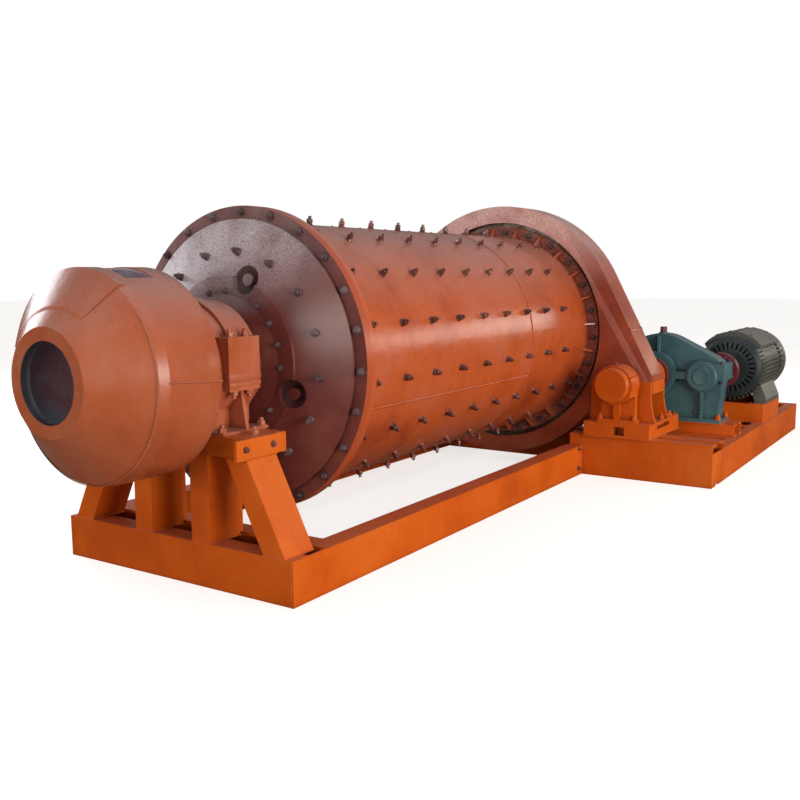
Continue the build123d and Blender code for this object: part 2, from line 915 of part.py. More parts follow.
# The front plate is doubled as far as a straight fold line, where its edge is bevelled
fold_start = along_fold(0, -guard_r)
fold_plane = Plane(
    origin=at(guard_front - facing, fold_start[0], axis_z + fold_start[1]),
    x_dir=(1, 0, 0),
    z_dir=(0, sin(radians(fold_angle)), cos(radians(fold_angle))),
)
beyond_fold = [
    along_fold(0, -guard_r), along_fold(0, guard_r),
    along_fold(guard_r, guard_r), along_fold(guard_r, -guard_r),
]
with BuildPart() as guard_front_plate:
    add(guard_plate_at(guard_front - facing, facing))
    add(plate(beyond_fold, guard_front - facing, facing), mode=Mode.SUBTRACT)
    with BuildSketch(fold_plane):
        with BuildLine():
            Polyline((0, 0), (0, fold_width), (facing - fold_lip, 0), close=True)
        make_face()
    extrude(amount=2 * guard_r, mode=Mode.SUBTRACT)
    add(guard_plate_at(guard_front, guard_plate))
keep(guard_front_plate.part, "guard_front_plate")

keep(guard_plate_at(guard_back - guard_plate, guard_plate), "guard_back_plate")

with BuildPart() as guard_rim:
    with BuildSketch(across(guard_front + guard_plate)):
        add(guard_face(guard_r))
        add(guard_face(guard_r - guard_plate), mode=Mode.SUBTRACT)
        with Locations((-guard_flank_y, guard_flank_z - axis_z)):
            Rectangle(guard_flank_y, guard_gap, align=(Align.MIN, Align.MAX), mode=Mode.SUBTRACT)
    extrude(amount=guard_width - 2 * guard_plate)
keep(guard_rim.part, "guard_rim")

# Pinion bearings on a welded stand, whose cheeks flare out to its foot
stand_front = drive_front - stand_lead
stand_back = pinion_bearing_rear + pinion_bearing_width / 2 + stand_tail
stand_near = -pinion_side - stand_half
stand_far = -pinion_side + stand_half
cheek_near = -guard_flank_y - cheek_lap
front_cheek = guard_front - facing - cheek
cheek_bend = guard_flank_z - cheek_straight
with BuildPart() as pinion_stand:
    add(slab(
        stand_front, stand_near, drive_front_height, stand_back - stand_front, 2 * stand_half, stand_height
    ))
    for x in (front_cheek, guard_back):
        with BuildSketch(across(x, mill_y, 0)):
            with BuildLine():
                Polyline(
                    (cheek_near, cheek_bend), (cheek_near, guard_flank_z),
                    (stand_far, guard_flank_z), (stand_far, stand_top), (stand_near, stand_top),
                )
                TangentArc((cheek_near, cheek_bend), (stand_near, stand_top), tangent=(0, -1))
            make_face()
        extrude(amount=cheek)
    add(slab(
        guard_front, cheek_near, guard_flank_z - stand_band, guard_width, stand_band_plate, stand_band
    ))
    add(
        bar(front_cheek, guard_back + cheek - front_cheek, pinion_shaft_r + shaft_hole_gap, shaft_y, shaft_z),
        mode=Mode.SUBTRACT,
    )
    add(slab(
        stand_front, -pinion_side - stand_hole_shift - stand_hole / 2, drive_front_height + stand_hole_rise,
        stand_hole_depth, stand_hole, stand_hole_height,
    ), mode=Mode.SUBTRACT)
    add(slab(
        guard_front, stand_near, drive_front_height + stand_slot_rise,
        stand_slot, stand_slot_depth, stand_slot_height,
    ), mode=Mode.SUBTRACT)
keep(pinion_stand.part, "pinion_stand")


def pinion_bearing(middle, outward):
    """A plummer block whose round housing overhangs its web and foot on the outward side."""
    start = middle - pinion_bearing_width / 2
    inner = middle - outward * pinion_bearing_width / 2
    foot = stand_top - shaft_z
    with BuildPart() as housing:
        with BuildSketch(across(start, shaft_y, shaft_z)):
            Circle(pinion_cap_r + housing_wall)
            with Locations((0, -housing_ear_below)):
                Rectangle(
                    2 * housing_ear, housing_ear_above + housing_ear_below,
                    align=(Align.CENTER, Align.MIN),
                )
        extrude(amount=pinion_bearing_width)
        for half, depth, height in (
            (housing_body, housing_web, -foot),
            (housing_rib / 2, housing_seat, -foot - pinion_cap_r),
            (housing_foot, housing_seat, housing_foot_plate),
        ):
            with BuildSketch(across(inner, shaft_y, stand_top)):
                Rectangle(2 * half, height, align=(Align.CENTER, Align.MIN))
            extrude(amount=outward * depth)
        add(
            bar(start, pinion_bearing_width, pinion_shaft_r + running_clearance, shaft_y, shaft_z),
            mode=Mode.SUBTRACT,
        )
    return housing.part


keep(pinion_bearing(pinion_bearing_front, -1), "pinion_bearing_front")
keep(pinion_bearing(pinion_bearing_rear, 1), "pinion_bearing_rear")

cap_face = pinion_bearing_front - pinion_bearing_width / 2
with BuildPart() as pinion_end_cap:
    add(turned([
        (cap_face, 0),
        (cap_face, pinion_cap_r),
        (cap_face - pinion_cap_depth + pinion_cap_rim, pinion_cap_r),
        (cap_face - pinion_cap_depth, pinion_cap_r - pinion_cap_rim),
        (cap_face - pinion_cap_depth, 0),
    ], shaft_y, shaft_z))
keep(pinion_end_cap.part, "pinion_end_cap")

# Reducer: a cast case split at the level of its shafts, on two rails across the drive base
reducer_base = shaft_z - reducer_height
rail_start = -near_reach + rail_inset
with BuildPart() as reducer_rails:
    for x, toes in ((reducer_front + rail_inset / 2, 1), (reducer_back - rail_inset / 2, -1)):
        corner_y = -base_half_width - rail_inset if toes > 0 else rail_start
        add(channel(
            at(x, corner_y, drive_height), (toes, 0, 0),
            near_reach - base_half_width - 2 * rail_inset, rail_height, rail_width,
        ))
keep(reducer_rails.part, "reducer_rails")

wall_front = reducer_front + (reducer_depth - reducer_wall) / 2
case_span = 2 * (reducer_centres + split_reach)


def case_half(upward):
    """The flange, bosses and bores that both halves of the case share."""
    with BuildPart() as half:
        with BuildSketch(across(reducer_front, shaft_y, shaft_z)):
            Rectangle(
                split_reach, split_flange, align=(Align.MIN, Align.MIN if upward else Align.MAX)
            )
            Rectangle(
                reducer_centres + split_overhang, split_flange,
                align=(Align.MAX, Align.MIN if upward else Align.MAX),
            )
        extrude(amount=reducer_depth)
        with BuildSketch(across(reducer_front, shaft_y, shaft_z)):
            Circle(low_boss_r)
            with Locations((-reducer_centres, 0)):
                Circle(high_boss_r)
            Rectangle(
                case_span, case_span,
                align=(Align.CENTER, Align.MAX if upward else Align.MIN), mode=Mode.SUBTRACT,
            )
        extrude(amount=reducer_depth)
    return half.part


def bored(case, name):
    """A case half with both shafts' bores through it."""
    with BuildPart() as finished:
        add(case)
        for y, radius in ((shaft_y, low_shaft_r), (motor_y, high_shaft_r)):
            add(
                bar(reducer_front, reducer_depth, radius + running_clearance, y, shaft_z),
                mode=Mode.SUBTRACT,
            )
    keep(finished.part, name)


with BuildPart() as lower_case:
    add(case_half(False))
    add(plate([
        (case_far, 0), (case_far - case_taper, -reducer_height),
        (-reducer_centres - case_overhang + case_taper, -reducer_height),
        (-reducer_centres - case_overhang, 0),
    ], wall_front, reducer_wall, shaft_y, shaft_z))
    with BuildSketch(Plane(origin=(head_x + reducer_front, shaft_y, reducer_base))):
        with Locations((0, case_far + case_taper)):
            Rectangle(
                reducer_depth, case_far + case_taper + reducer_centres + foot_overhang,
                align=(Align.MIN, Align.MAX),
            )
    extrude(amount=reducer_foot)
    with BuildSketch(across(reducer_front, shaft_y, reducer_base)):
        with Locations((0, 0), (-reducer_centres, 0)):
            Rectangle(reducer_rib, reducer_height - low_boss_r / 2, align=(Align.CENTER, Align.MIN))
    extrude(amount=reducer_depth)
bored(lower_case.part, "reducer_lower_case")

hood_lean = acos((hood_r - hood_small_r) / (reducer_centres - hood_shift))
with BuildPart() as upper_case:
    add(case_half(True))
    with BuildSketch(across(wall_front, shaft_y, shaft_z)):
        with Locations((-hood_shift, 0)):
            Circle(hood_r)
        with Locations((-reducer_centres, 0)):
            Circle(hood_small_r)
        with BuildLine():
            Polyline(
                (-hood_shift, 0),
                (-hood_shift - hood_r * cos(hood_lean), hood_r * sin(hood_lean)),
                (-reducer_centres - hood_small_r * cos(hood_lean), hood_small_r * sin(hood_lean)),
                (-reducer_centres, 0),
                close=True,
            )
        make_face()
        Rectangle(case_span, case_span, align=(Align.CENTER, Align.MAX), mode=Mode.SUBTRACT)
    extrude(amount=reducer_wall)
    with BuildSketch(across(reducer_front, shaft_y, shaft_z)):
        with Locations((-reducer_centres - split_overhang, 0)):
            Rectangle(bolt_block_length, bolt_block_height, align=(Align.MIN, Align.MIN))
        with Locations((-hood_shift, 0)):
            Rectangle(reducer_rib, hood_r - reducer_rib, align=(Align.CENTER, Align.MIN))
    extrude(amount=reducer_depth)
    with BuildSketch(Plane(origin=(
        head_x + (reducer_front + reducer_back) / 2, shaft_y - hood_shift, shaft_z + hood_r / 2
    ))):
        Circle(breather_seat_r)
    extrude(amount=hood_r / 2 + breather_seat)
bored(upper_case.part, "reducer_upper_case")

with BuildPart() as reducer_breather:
    with BuildSketch(Plane(origin=(
        head_x + (reducer_front + reducer_back) / 2, shaft_y - hood_shift, shaft_z + hood_r + breather_seat
    ))):
        RegularPolygon(breather_r, 6)
    extrude(amount=breather_height)
keep(reducer_breather.part, "reducer_breather")


def bearing_cover(face, outward, rim_r, bore_r, y):
    """A turned cover on a boss of the case: blind, or bored for its shaft."""
    return turned([
        (face, bore_r),
        (face, rim_r),
        (face + outward * (cover_depth - cover_rim), rim_r),
        (face + outward * cover_depth, rim_r - cover_rim),
        (face + outward * cover_depth, bore_r),
    ], y, shaft_z)


low_cover_r = low_boss_r - cover_rim
high_cover_r = high_boss_r - cover_rim
with BuildPart() as reducer_covers:
    add(bearing_cover(reducer_front, -1, high_cover_r, 0, motor_y))
    add(bearing_cover(reducer_back, 1, low_cover_r, 0, shaft_y))
    add(bearing_cover(reducer_back, 1, high_cover_r, high_shaft_r + running_clearance, motor_y))
keep(reducer_covers.part, "reducer_covers")

# Motor on its stand, a welded frame of two rails and two cross bars
stand_x = motor_front + stand_lead_in
motor_mid = -pinion_side - reducer_centres
motor_base = shaft_z - motor_height
with BuildPart() as motor_stand:
    add(slab(
        stand_x, motor_mid - motor_stand_width / 2, drive_height,
        motor_stand_length, motor_stand_width, motor_base - drive_height,
    ))
    add(slab(
        stand_x + stand_cross, motor_mid - motor_stand_width / 2 + stand_rail, drive_height,
        motor_stand_length - 2 * stand_cross, motor_stand_width - 2 * stand_rail, motor_base - drive_height,
    ), mode=Mode.SUBTRACT)
keep(motor_stand.part, "motor_stand")

body_start = motor_front + shield_length
body_length = motor_length - shield_length - cowl_length
body_r = motor_r - fin_height
cover_inner_r = body_r - fin_height
cover_r = motor_r + top_cover
with BuildPart() as motor_frame:
    with BuildSketch(across(body_start, motor_y, shaft_z)):
        Circle(body_r)
        with PolarLocations(body_r, fin_count):
            Rectangle(2 * fin_height, fin_width)
    extrude(amount=body_length)
    with BuildSketch(across(body_start, motor_y, shaft_z)):
        with BuildLine():
            top_start = 90 - top_cover_angle / 2
            CenterArc((0, 0), cover_r, top_start, top_cover_angle)
            CenterArc((0, 0), cover_inner_r, top_start, top_cover_angle)
            for side in (top_start, top_start + top_cover_angle):
                Line(
                    (cover_r * cos(radians(side)), cover_r * sin(radians(side))),
                    (cover_inner_r * cos(radians(side)), cover_inner_r * sin(radians(side))),
                )
        make_face()
    extrude(amount=body_length)
    with BuildSketch(across(motor_front + foot_inset, motor_y, motor_base)):
        for side in (-1, 1):
            with BuildLine():
                outer = side * (motor_foot_spread / 2 + motor_foot_width / 2)
                inner = side * (motor_foot_spread / 2 - motor_foot_width / 2)
                Polyline(
                    (inner, 0), (outer, 0), (outer, motor_foot_plate),
                    (side * cover_inner_r, motor_foot_top),
                    (inner - side * motor_foot_lean, motor_foot_top),
                    close=True,
                )
            make_face()
    extrude(amount=motor_foot_length)
keep(motor_frame.part, "motor_frame")

slot_circle_r = (shield_hub_r + shield_r - slot_end) / 2
with BuildPart() as motor_end_shield:
    add(turned([
        (motor_front, high_shaft_r + running_clearance),
        (motor_front, shield_hub_r),
        (motor_front + slot_width, shield_r - slot_end),
        (motor_front + slot_end, shield_r),
        (body_start, shield_r),
        (body_start, high_shaft_r + running_clearance),
    ], motor_y, shaft_z))
    with BuildSketch(across(motor_front, motor_y, shaft_z)):
        with PolarLocations(slot_circle_r, shield_slots):
            Rectangle(shield_r - slot_end - shield_hub_r - 2 * slot_width, slot_width)
    extrude(amount=slot_depth, mode=Mode.SUBTRACT)
keep(motor_end_shield.part, "motor_end_shield")

with BuildPart() as motor_fan_cowl:
    add(turned([
        (motor_end - cowl_length, 0),
        (motor_end - cowl_length, cowl_r),
        (motor_end - cowl_edge, cowl_r),
        (motor_end, cowl_r - cowl_edge),
        (motor_end, 0),
    ], motor_y, shaft_z))
    with BuildSketch(across(motor_end - cowl_length + cowl_edge, motor_y, shaft_z)):
        with PolarLocations(cowl_r, cowl_slots):
            Rectangle(cowl_slot_depth, slot_width)
    extrude(amount=cowl_slot_length, mode=Mode.SUBTRACT)
keep(motor_fan_cowl.part, "motor_fan_cowl")
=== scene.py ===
# %% [markdown]
# # A ball mill, dressed on its CAD frame
# A ball mill is a steel drum, half full of balls, that turns on two hollow trunnions and grinds ore.
# The solids come packed from CAD with their true sizes. This lesson adds what CAD left out: bolts,
# weld beads, gloss, dust and the light of a workshop. Everything is in metres, in the CAD's own frame.

import json
from math import atan2, cos, pi, radians, sin, sqrt

import bpy
from mathutils import Matrix, Vector


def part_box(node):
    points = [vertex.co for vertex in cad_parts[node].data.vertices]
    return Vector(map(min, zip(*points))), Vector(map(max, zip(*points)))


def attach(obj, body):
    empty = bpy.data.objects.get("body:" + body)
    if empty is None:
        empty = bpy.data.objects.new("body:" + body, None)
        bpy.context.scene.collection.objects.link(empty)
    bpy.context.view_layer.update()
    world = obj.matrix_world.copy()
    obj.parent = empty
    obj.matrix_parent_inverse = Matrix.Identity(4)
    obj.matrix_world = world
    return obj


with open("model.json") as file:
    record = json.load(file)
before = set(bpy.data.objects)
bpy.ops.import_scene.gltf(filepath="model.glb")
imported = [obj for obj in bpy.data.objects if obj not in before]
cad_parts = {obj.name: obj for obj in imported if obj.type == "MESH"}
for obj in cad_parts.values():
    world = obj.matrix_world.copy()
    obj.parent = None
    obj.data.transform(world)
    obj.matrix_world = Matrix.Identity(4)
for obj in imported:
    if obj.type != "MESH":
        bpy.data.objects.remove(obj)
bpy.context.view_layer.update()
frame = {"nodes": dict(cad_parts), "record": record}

# %% [markdown]
# ## Stations
# On the mill, lengths are counted from the outer face of the feed head's flange, and heights from the
# floor. They could be typed again for every piece, but reading them once from the CAD boxes keeps each
# bolt on its plate. Angles round the drum are counted upwards from the side where the drive stands.

# %% Stations read from the CAD
HEAD_FLANGE = 0.040
DRUM_Z = 0.865
SHELL_R = 0.604

shell_low, shell_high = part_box("shell")
face_x = shell_low.x - HEAD_FLANGE
drum_y = (shell_low.y + shell_high.y) / 2
cap_low, cap_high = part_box("pinion_end_cap")
pinion_y = (cap_low.y + cap_high.y) / 2
shaft_z = (cap_low.z + cap_high.z) / 2
cowl_low, cowl_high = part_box("motor_fan_cowl")
motor_y = (cowl_low.y + cowl_high.y) / 2


def at(x, y, z):
    """A point from the feed head's face, the drum's axis and the floor."""
    return Vector((face_x + x, drum_y + y, z))


def round_drum(x, radius, angle):
    """A point at a station on a circle round the drum's axis."""
    return at(x, -radius * cos(radians(angle)), DRUM_Z + radius * sin(radians(angle)))


def outward(angle):
    return Vector((0, -cos(radians(angle)), sin(radians(angle))))


print("drum axis y", round(drum_y, 4), "pinion y", round(pinion_y, 4), "motor y", round(motor_y, 4))

# %% [markdown]
# ## Camera
# The photograph was taken from the feed end, at chest height, on the drive side. A camera could be
# aimed by eye, but this place and these angles were solved from the machine's own edges, so each
# edge of the model falls on the same edge of the photograph.

# %% Camera
EYE = at(-3.009, -2.802, 1.238)
YAW, PITCH, ROLL = radians(-56.668), radians(7.753), -0.0061
ahead = Vector((-sin(YAW) * cos(PITCH), cos(YAW) * cos(PITCH), -sin(PITCH)))
level = Vector((cos(YAW), sin(YAW), 0))
upright = level.cross(ahead)
right = level * cos(ROLL) + upright * sin(ROLL)
top = upright * cos(ROLL) - level * sin(ROLL)

lens = bpy.data.cameras.new("photo_camera")
lens.sensor_width = 36
lens.lens = 41.67
lens.clip_end = 200
camera = bpy.data.objects.new("photo_camera", lens)
bpy.context.scene.collection.objects.link(camera)
turn = Matrix((right, top, -ahead)).transposed().to_4x4()
camera.matrix_world = Matrix.Translation(EYE) @ turn
bpy.context.scene.camera = camera
print("camera at", tuple(round(v, 3) for v in EYE))

# %% [markdown]
# ## Colours and nodes
# Paint makers and photo editors name a colour by its sRGB code, and shaders want linear light. One
# function turns the first into the second. Another adds any node with its settings and its links, so
# that a material below reads as a list of what it does, and a third lays one coat over another.

# %% Colour and node helpers
def hue(code):
    """An sRGB hex colour as linear values."""
    parts = [int(code[i:i + 2], 16) / 255 for i in (1, 3, 5)]
    return tuple(c / 12.92 if c <= 0.04045 else ((c + 0.055) / 1.055) ** 2.4 for c in parts) + (1,)


def feed(tree, source, socket):
    """Links a socket to another one, or to the first output that a node has in use."""
    if isinstance(source, bpy.types.Node):
        source = next(output for output in source.outputs if output.enabled)
    tree.links.new(source, socket)


def add(tree, kind, settings=()):
    """Adds a node. A setting that is a node or a socket is linked to its input, any other is set."""
    made = tree.nodes.new(kind)
    for key, value in dict(settings).items():
        if isinstance(value, (bpy.types.Node, bpy.types.NodeSocket)):
            feed(tree, value, made.inputs[key])
        elif key == "stops":
            ramp = made.color_ramp.elements
            ramp[0].position, ramp[0].color = value[0]
            ramp[1].position, ramp[1].color = value[-1]
            for place, colour in value[1:-1]:
                ramp.new(place).color = colour
        elif isinstance(key, int) or key in made.inputs:
            made.inputs[key].default_value = value
        else:
            setattr(made, key, value)
    return made


def layer(tree, coat, colour, measure, start, end, most=1.0):
    """Lays a colour over a coat, more of it as a measure goes from start to end."""
    share = add(tree, "ShaderNodeMapRange", {
        "From Min": start, "From Max": end, "To Max": most, "Value": measure,
    })
    return add(tree, "ShaderNodeMix", {"data_type": "RGBA", 0: share, 6: coat, 7: colour})


def blank(name):
    """A new material with an empty tree."""
    material = bpy.data.materials.new(name)
    material.use_nodes = True
    material.node_tree.nodes.clear()
    return material, material.node_tree


# %% [markdown]
# ## Enamel
# The whole machine is sprayed with air-drying enamel, in one thin coat. It has a soft gloss, small
# bumps like orange peel, paler patches where the coat is thick, runs on upright faces, dust on level
# faces that is also a painted sheen, dirt with painted shade in corners, and a few chips down to the
# primer, which on bolts are painted glints. Each could be painted by hand on an image, but noises in
# the object's own coordinates cover every side and follow it anywhere.

# %% Enamel
def enamel(name, coat, deep, faded, rough=0.36, dust_and_sheen=0.3, chips_and_glints=0.02, primer="#4B2C26", grime_and_shade="#2A1710",
           shine=0.3):
    """Sprayed enamel over steel. coat is its colour, deep and faded its darker and paler patches."""
    material, tree = blank(name)
    place = add(tree, "ShaderNodeTexCoord").outputs["Object"]
    # Patches 400 mm across, where the coat is thicker or thinner
    patches = add(tree, "ShaderNodeTexNoise", {
        "Scale": 2.5, "Detail": 5, "Roughness": 0.62, "Vector": place,
    })
    coated = add(tree, "ShaderNodeValToRGB", {
        "stops": [(0.34, hue(deep)), (0.5, hue(coat)), (0.7, hue(faded))], "Fac": patches,
    })
    # Runs: a noise of 25 mm drawn out six times along Z
    drawn = add(tree, "ShaderNodeMapping", {"Scale": (1, 1, 0.16), "Vector": place})
    runs = add(tree, "ShaderNodeTexNoise", {"Scale": 40, "Detail": 3, "Vector": drawn})
    streaked = layer(tree, coated, hue(deep), runs, 0.5, 0.8, 0.35)
    # Dust lies where the surface looks up, in clouds of 120 mm; this paler layer is also painted sheen
    normal = add(tree, "ShaderNodeNewGeometry").outputs["Normal"]
    up = add(tree, "ShaderNodeSeparateXYZ", {"Vector": normal}).outputs["Z"]
    level = add(tree, "ShaderNodeMapRange", {
        "From Min": 0.35, "From Max": 1.0, "To Max": dust_and_sheen, "Value": up,
    })
    clouds = add(tree, "ShaderNodeTexNoise", {"Scale": 8, "Detail": 6, "Roughness": 0.7, "Vector": place})
    dust_and_sheen_share = add(tree, "ShaderNodeMath", {"operation": "MULTIPLY", 0: level, 1: clouds})
    dust_and_sheen_coat = add(tree, "ShaderNodeMix", {"data_type": "RGBA", 0: dust_and_sheen_share, 6: streaked, 7: hue("#A89A9A")})
    # Dirt and painted shade darken corners, within 45 mm of the next face
    corners = add(tree, "ShaderNodeAmbientOcclusion", {"Distance": 0.045, "samples": 4})
    dirt_and_painted_shade = layer(tree, dust_and_sheen_coat, hue(grime_and_shade), corners.outputs["AO"], 0.75, 0.2, 0.6)
    # Chips 6 mm across, down to the primer; a pale primer makes them painted glints, as on the bolts
    specks = add(tree, "ShaderNodeTexNoise", {"Scale": 90, "Detail": 2, "Vector": place})
    chipped_and_glinting = layer(tree, dirt_and_painted_shade, hue(primer), specks, 0.76 - chips_and_glints, 0.78 - chips_and_glints)
    # Orange peel of 3 mm over hand-plate waves of 60 mm
    peel = add(tree, "ShaderNodeTexNoise", {"Scale": 330, "Detail": 1, "Vector": place})
    waves = add(tree, "ShaderNodeTexNoise", {"Scale": 16, "Detail": 2, "Vector": place})
    wavy = add(tree, "ShaderNodeBump", {"Strength": 0.35, "Distance": 0.004, "Height": waves})
    bump = add(tree, "ShaderNodeBump", {
        "Strength": 0.3, "Distance": 0.0006, "Height": peel, "Normal": wavy,
    })
    gloss = add(tree, "ShaderNodeMapRange", {
        "To Min": rough - 0.06, "To Max": rough + 0.14, "Value": clouds,
    })
    shader = add(tree, "ShaderNodeBsdfPrincipled", {
        "IOR": 1.5, "Specular IOR Level": shine, "Base Color": chipped_and_glinting, "Roughness": gloss, "Normal": bump,
    })
    add(tree, "ShaderNodeOutputMaterial", {"Surface": shader})
    return material


finishes = {
    # Orange enamel on the rolled channels and plates of the base and the supports
    "frame_paint": enamel("orange_frame_enamel", "#D25C12", "#C05011", "#D96820", shine=0.2),
    # The same paint on the drum has weathered to a redder brown; its heavy dust also paints a sheen on top
    "drum_paint": enamel(
        "red_orange_drum_enamel", "#BC5628", "#A24522", "#BC6244", rough=0.2, dust_and_sheen=0.8, shine=0.5
    ),
    # Blue-green machine enamel on the cast reducer case
    "reducer_paint": enamel(
        "blue_green_reducer_enamel", "#42686F", "#304E59", "#5A7E7E", primer="#6B4A3A", grime_and_shade="#14191A"
    ),
    # Grey-green machine enamel on the cast motor
    "motor_paint": enamel(
        "grey_green_motor_enamel", "#545750", "#40463F", "#6E6D64", dust_and_sheen=0.9,
        primer="#6B5A4A", grime_and_shade="#161A17",
    ),
    # Dark red enamel on the couplings and the breather
    "coupling_paint": enamel(
        "dark_red_coupling_enamel", "#6E2E36", "#54222A", "#84424A", primer="#555049", grime_and_shade="#241214"
    ),
}
# The guard is sheet steel under the drum's paint, rolled on by hand, so it is darker and less even
guard_paint = enamel(
    "red_brown_guard_enamel", "#A44A2E", "#863826", "#B8664A", rough=0.28, dust_and_sheen=0.5, shine=0.5
)
# The feeder has the drum's paint too, but stood in the rain of ore dust, so it is duller; its dust on top
# is also painted sheen
feeder_paint = enamel(
    "dull_feeder_enamel", "#B25A36", "#A2502E", "#B86A4C", rough=0.24, dust_and_sheen=0.8, shine=0.5
)
# The bearings are castings under the drum's paint, dulled by oily dust, whose paler layer on top is also
# painted sheen
bearing_paint = enamel(
    "oily_bearing_enamel", "#B25530", "#904526", "#BE6C4C", rough=0.34, dust_and_sheen=0.9, shine=0.4
)
# The motor's end shield is a casting painted darker than the motor, as painted shade
shield_paint_in_painted_shade = enamel("shield_enamel_in_painted_shade", "#30383A", "#242A2C", "#48504E", dust_and_sheen=0.2, grime_and_shade="#101314")
# Fasteners went under a thin coat, and its pale chips are painted glints of the steel
bolt_paint = enamel(
    "thin_bolt_enamel", "#6E372C", "#4C261F", "#8A5242", rough=0.3, chips_and_glints=0.07, primer="#A88C82", shine=0.6
)
# On the heads they are darker, under the same grey mist as the castings, and their pale chips are painted
# glints
head_bolt_paint = enamel(
    "sooty_head_bolt_enamel", "#5C4648", "#3E2E30", "#7C686C", rough=0.34, chips_and_glints=0.05,
    primer="#9A8A8C", shine=0.5,
)
print("enamels:", ", ".join(m.name for m in finishes.values()))

# %% [markdown]
# ## Where a coat ends
# Some solids carry two coats: a head is primed on its face but sprayed with the drum round its edge.
# A second object could carry the second coat, but a mask keeps the solid whole. The mask asks how far
# a point lies from the drum's axis and from a station along it.

# %% Masks round the drum
def round_axis(tree, place, station):
    """What gives a point's distance from the drum's axis, and its place past a station along it."""
    middle = at(station, 0, DRUM_Z)
    local = add(tree, "ShaderNodeVectorMath", {"operation": "SUBTRACT", 0: place, 1: middle})
    flat = add(tree, "ShaderNodeVectorMath", {"operation": "MULTIPLY", 0: local, 1: (0, 1, 1)})
    radius = add(tree, "ShaderNodeVectorMath", {"operation": "LENGTH", 0: flat})
    past = add(tree, "ShaderNodeSeparateXYZ", {"Vector": local}).outputs["X"]
    return radius, past


def mist_and_sheen_over(tree, place, coat, low, high, most, colour="#CEC4CA"):
    """Lays mist over a coat, thicker upwards and to the far side; the pale layer is also painted sheen.
    Returns it with the mist's grain.
    """
    lean = add(tree, "ShaderNodeVectorMath", {"operation": "SUBTRACT", 0: place, 1: at(0, 0, DRUM_Z)})
    height = add(tree, "ShaderNodeVectorMath", {"operation": "DOT_PRODUCT", 0: lean, 1: (0, 0.45, 1)})
    share = add(tree, "ShaderNodeMapRange", {
        "From Min": low, "From Max": high, "To Max": most, "Value": height,
    })
    # Grains of mist 7 mm across, in drifts of 150 mm
    mist = add(tree, "ShaderNodeTexNoise", {"Scale": 150, "Detail": 4, "Roughness": 0.7, "Vector": place})
    grains = add(tree, "ShaderNodeMapRange", {"From Min": 0.28, "From Max": 0.56, "Value": mist})
    drift = add(tree, "ShaderNodeTexNoise", {"Scale": 7, "Detail": 3, "Vector": place})
    drifts = add(tree, "ShaderNodeMapRange", {
        "From Min": 0.3, "From Max": 0.55, "To Min": 0.55, "Value": drift,
    })
    thick = add(tree, "ShaderNodeMath", {"operation": "MULTIPLY", 0: share, 1: drifts})
    speckle = add(tree, "ShaderNodeMath", {"operation": "MULTIPLY", 0: thick, 1: grains})
    mist_and_sheen_coat = add(tree, "ShaderNodeMix", {"data_type": "RGBA", 0: speckle, 6: coat, 7: hue(colour)})
    return mist_and_sheen_coat, mist


# %% [markdown]
# ## Primed head castings
# The two heads are cast iron under a dark red-brown primer with a little gloss. Grey spray mist fell
# on the upper half while the drum stood, and its pale layer, thicker upwards, is also painted sheen.
# The flange has less of it, and its edge took the drum's coat. Four shallow dishes in the face, each
# with a plug, are painted dark as painted shade, and painted shade darkens the corners. Every coat
# could be a material on faces of its own, but masks leave the solid whole and their borders soft.

# %% Head primer
FLANGE_R, CONE_START_R = 0.668, 0.612
DISH_CIRCLE_R, DISH_R, PLUG_R, DISH_ANGLE = 0.370, 0.060, 0.030, 72


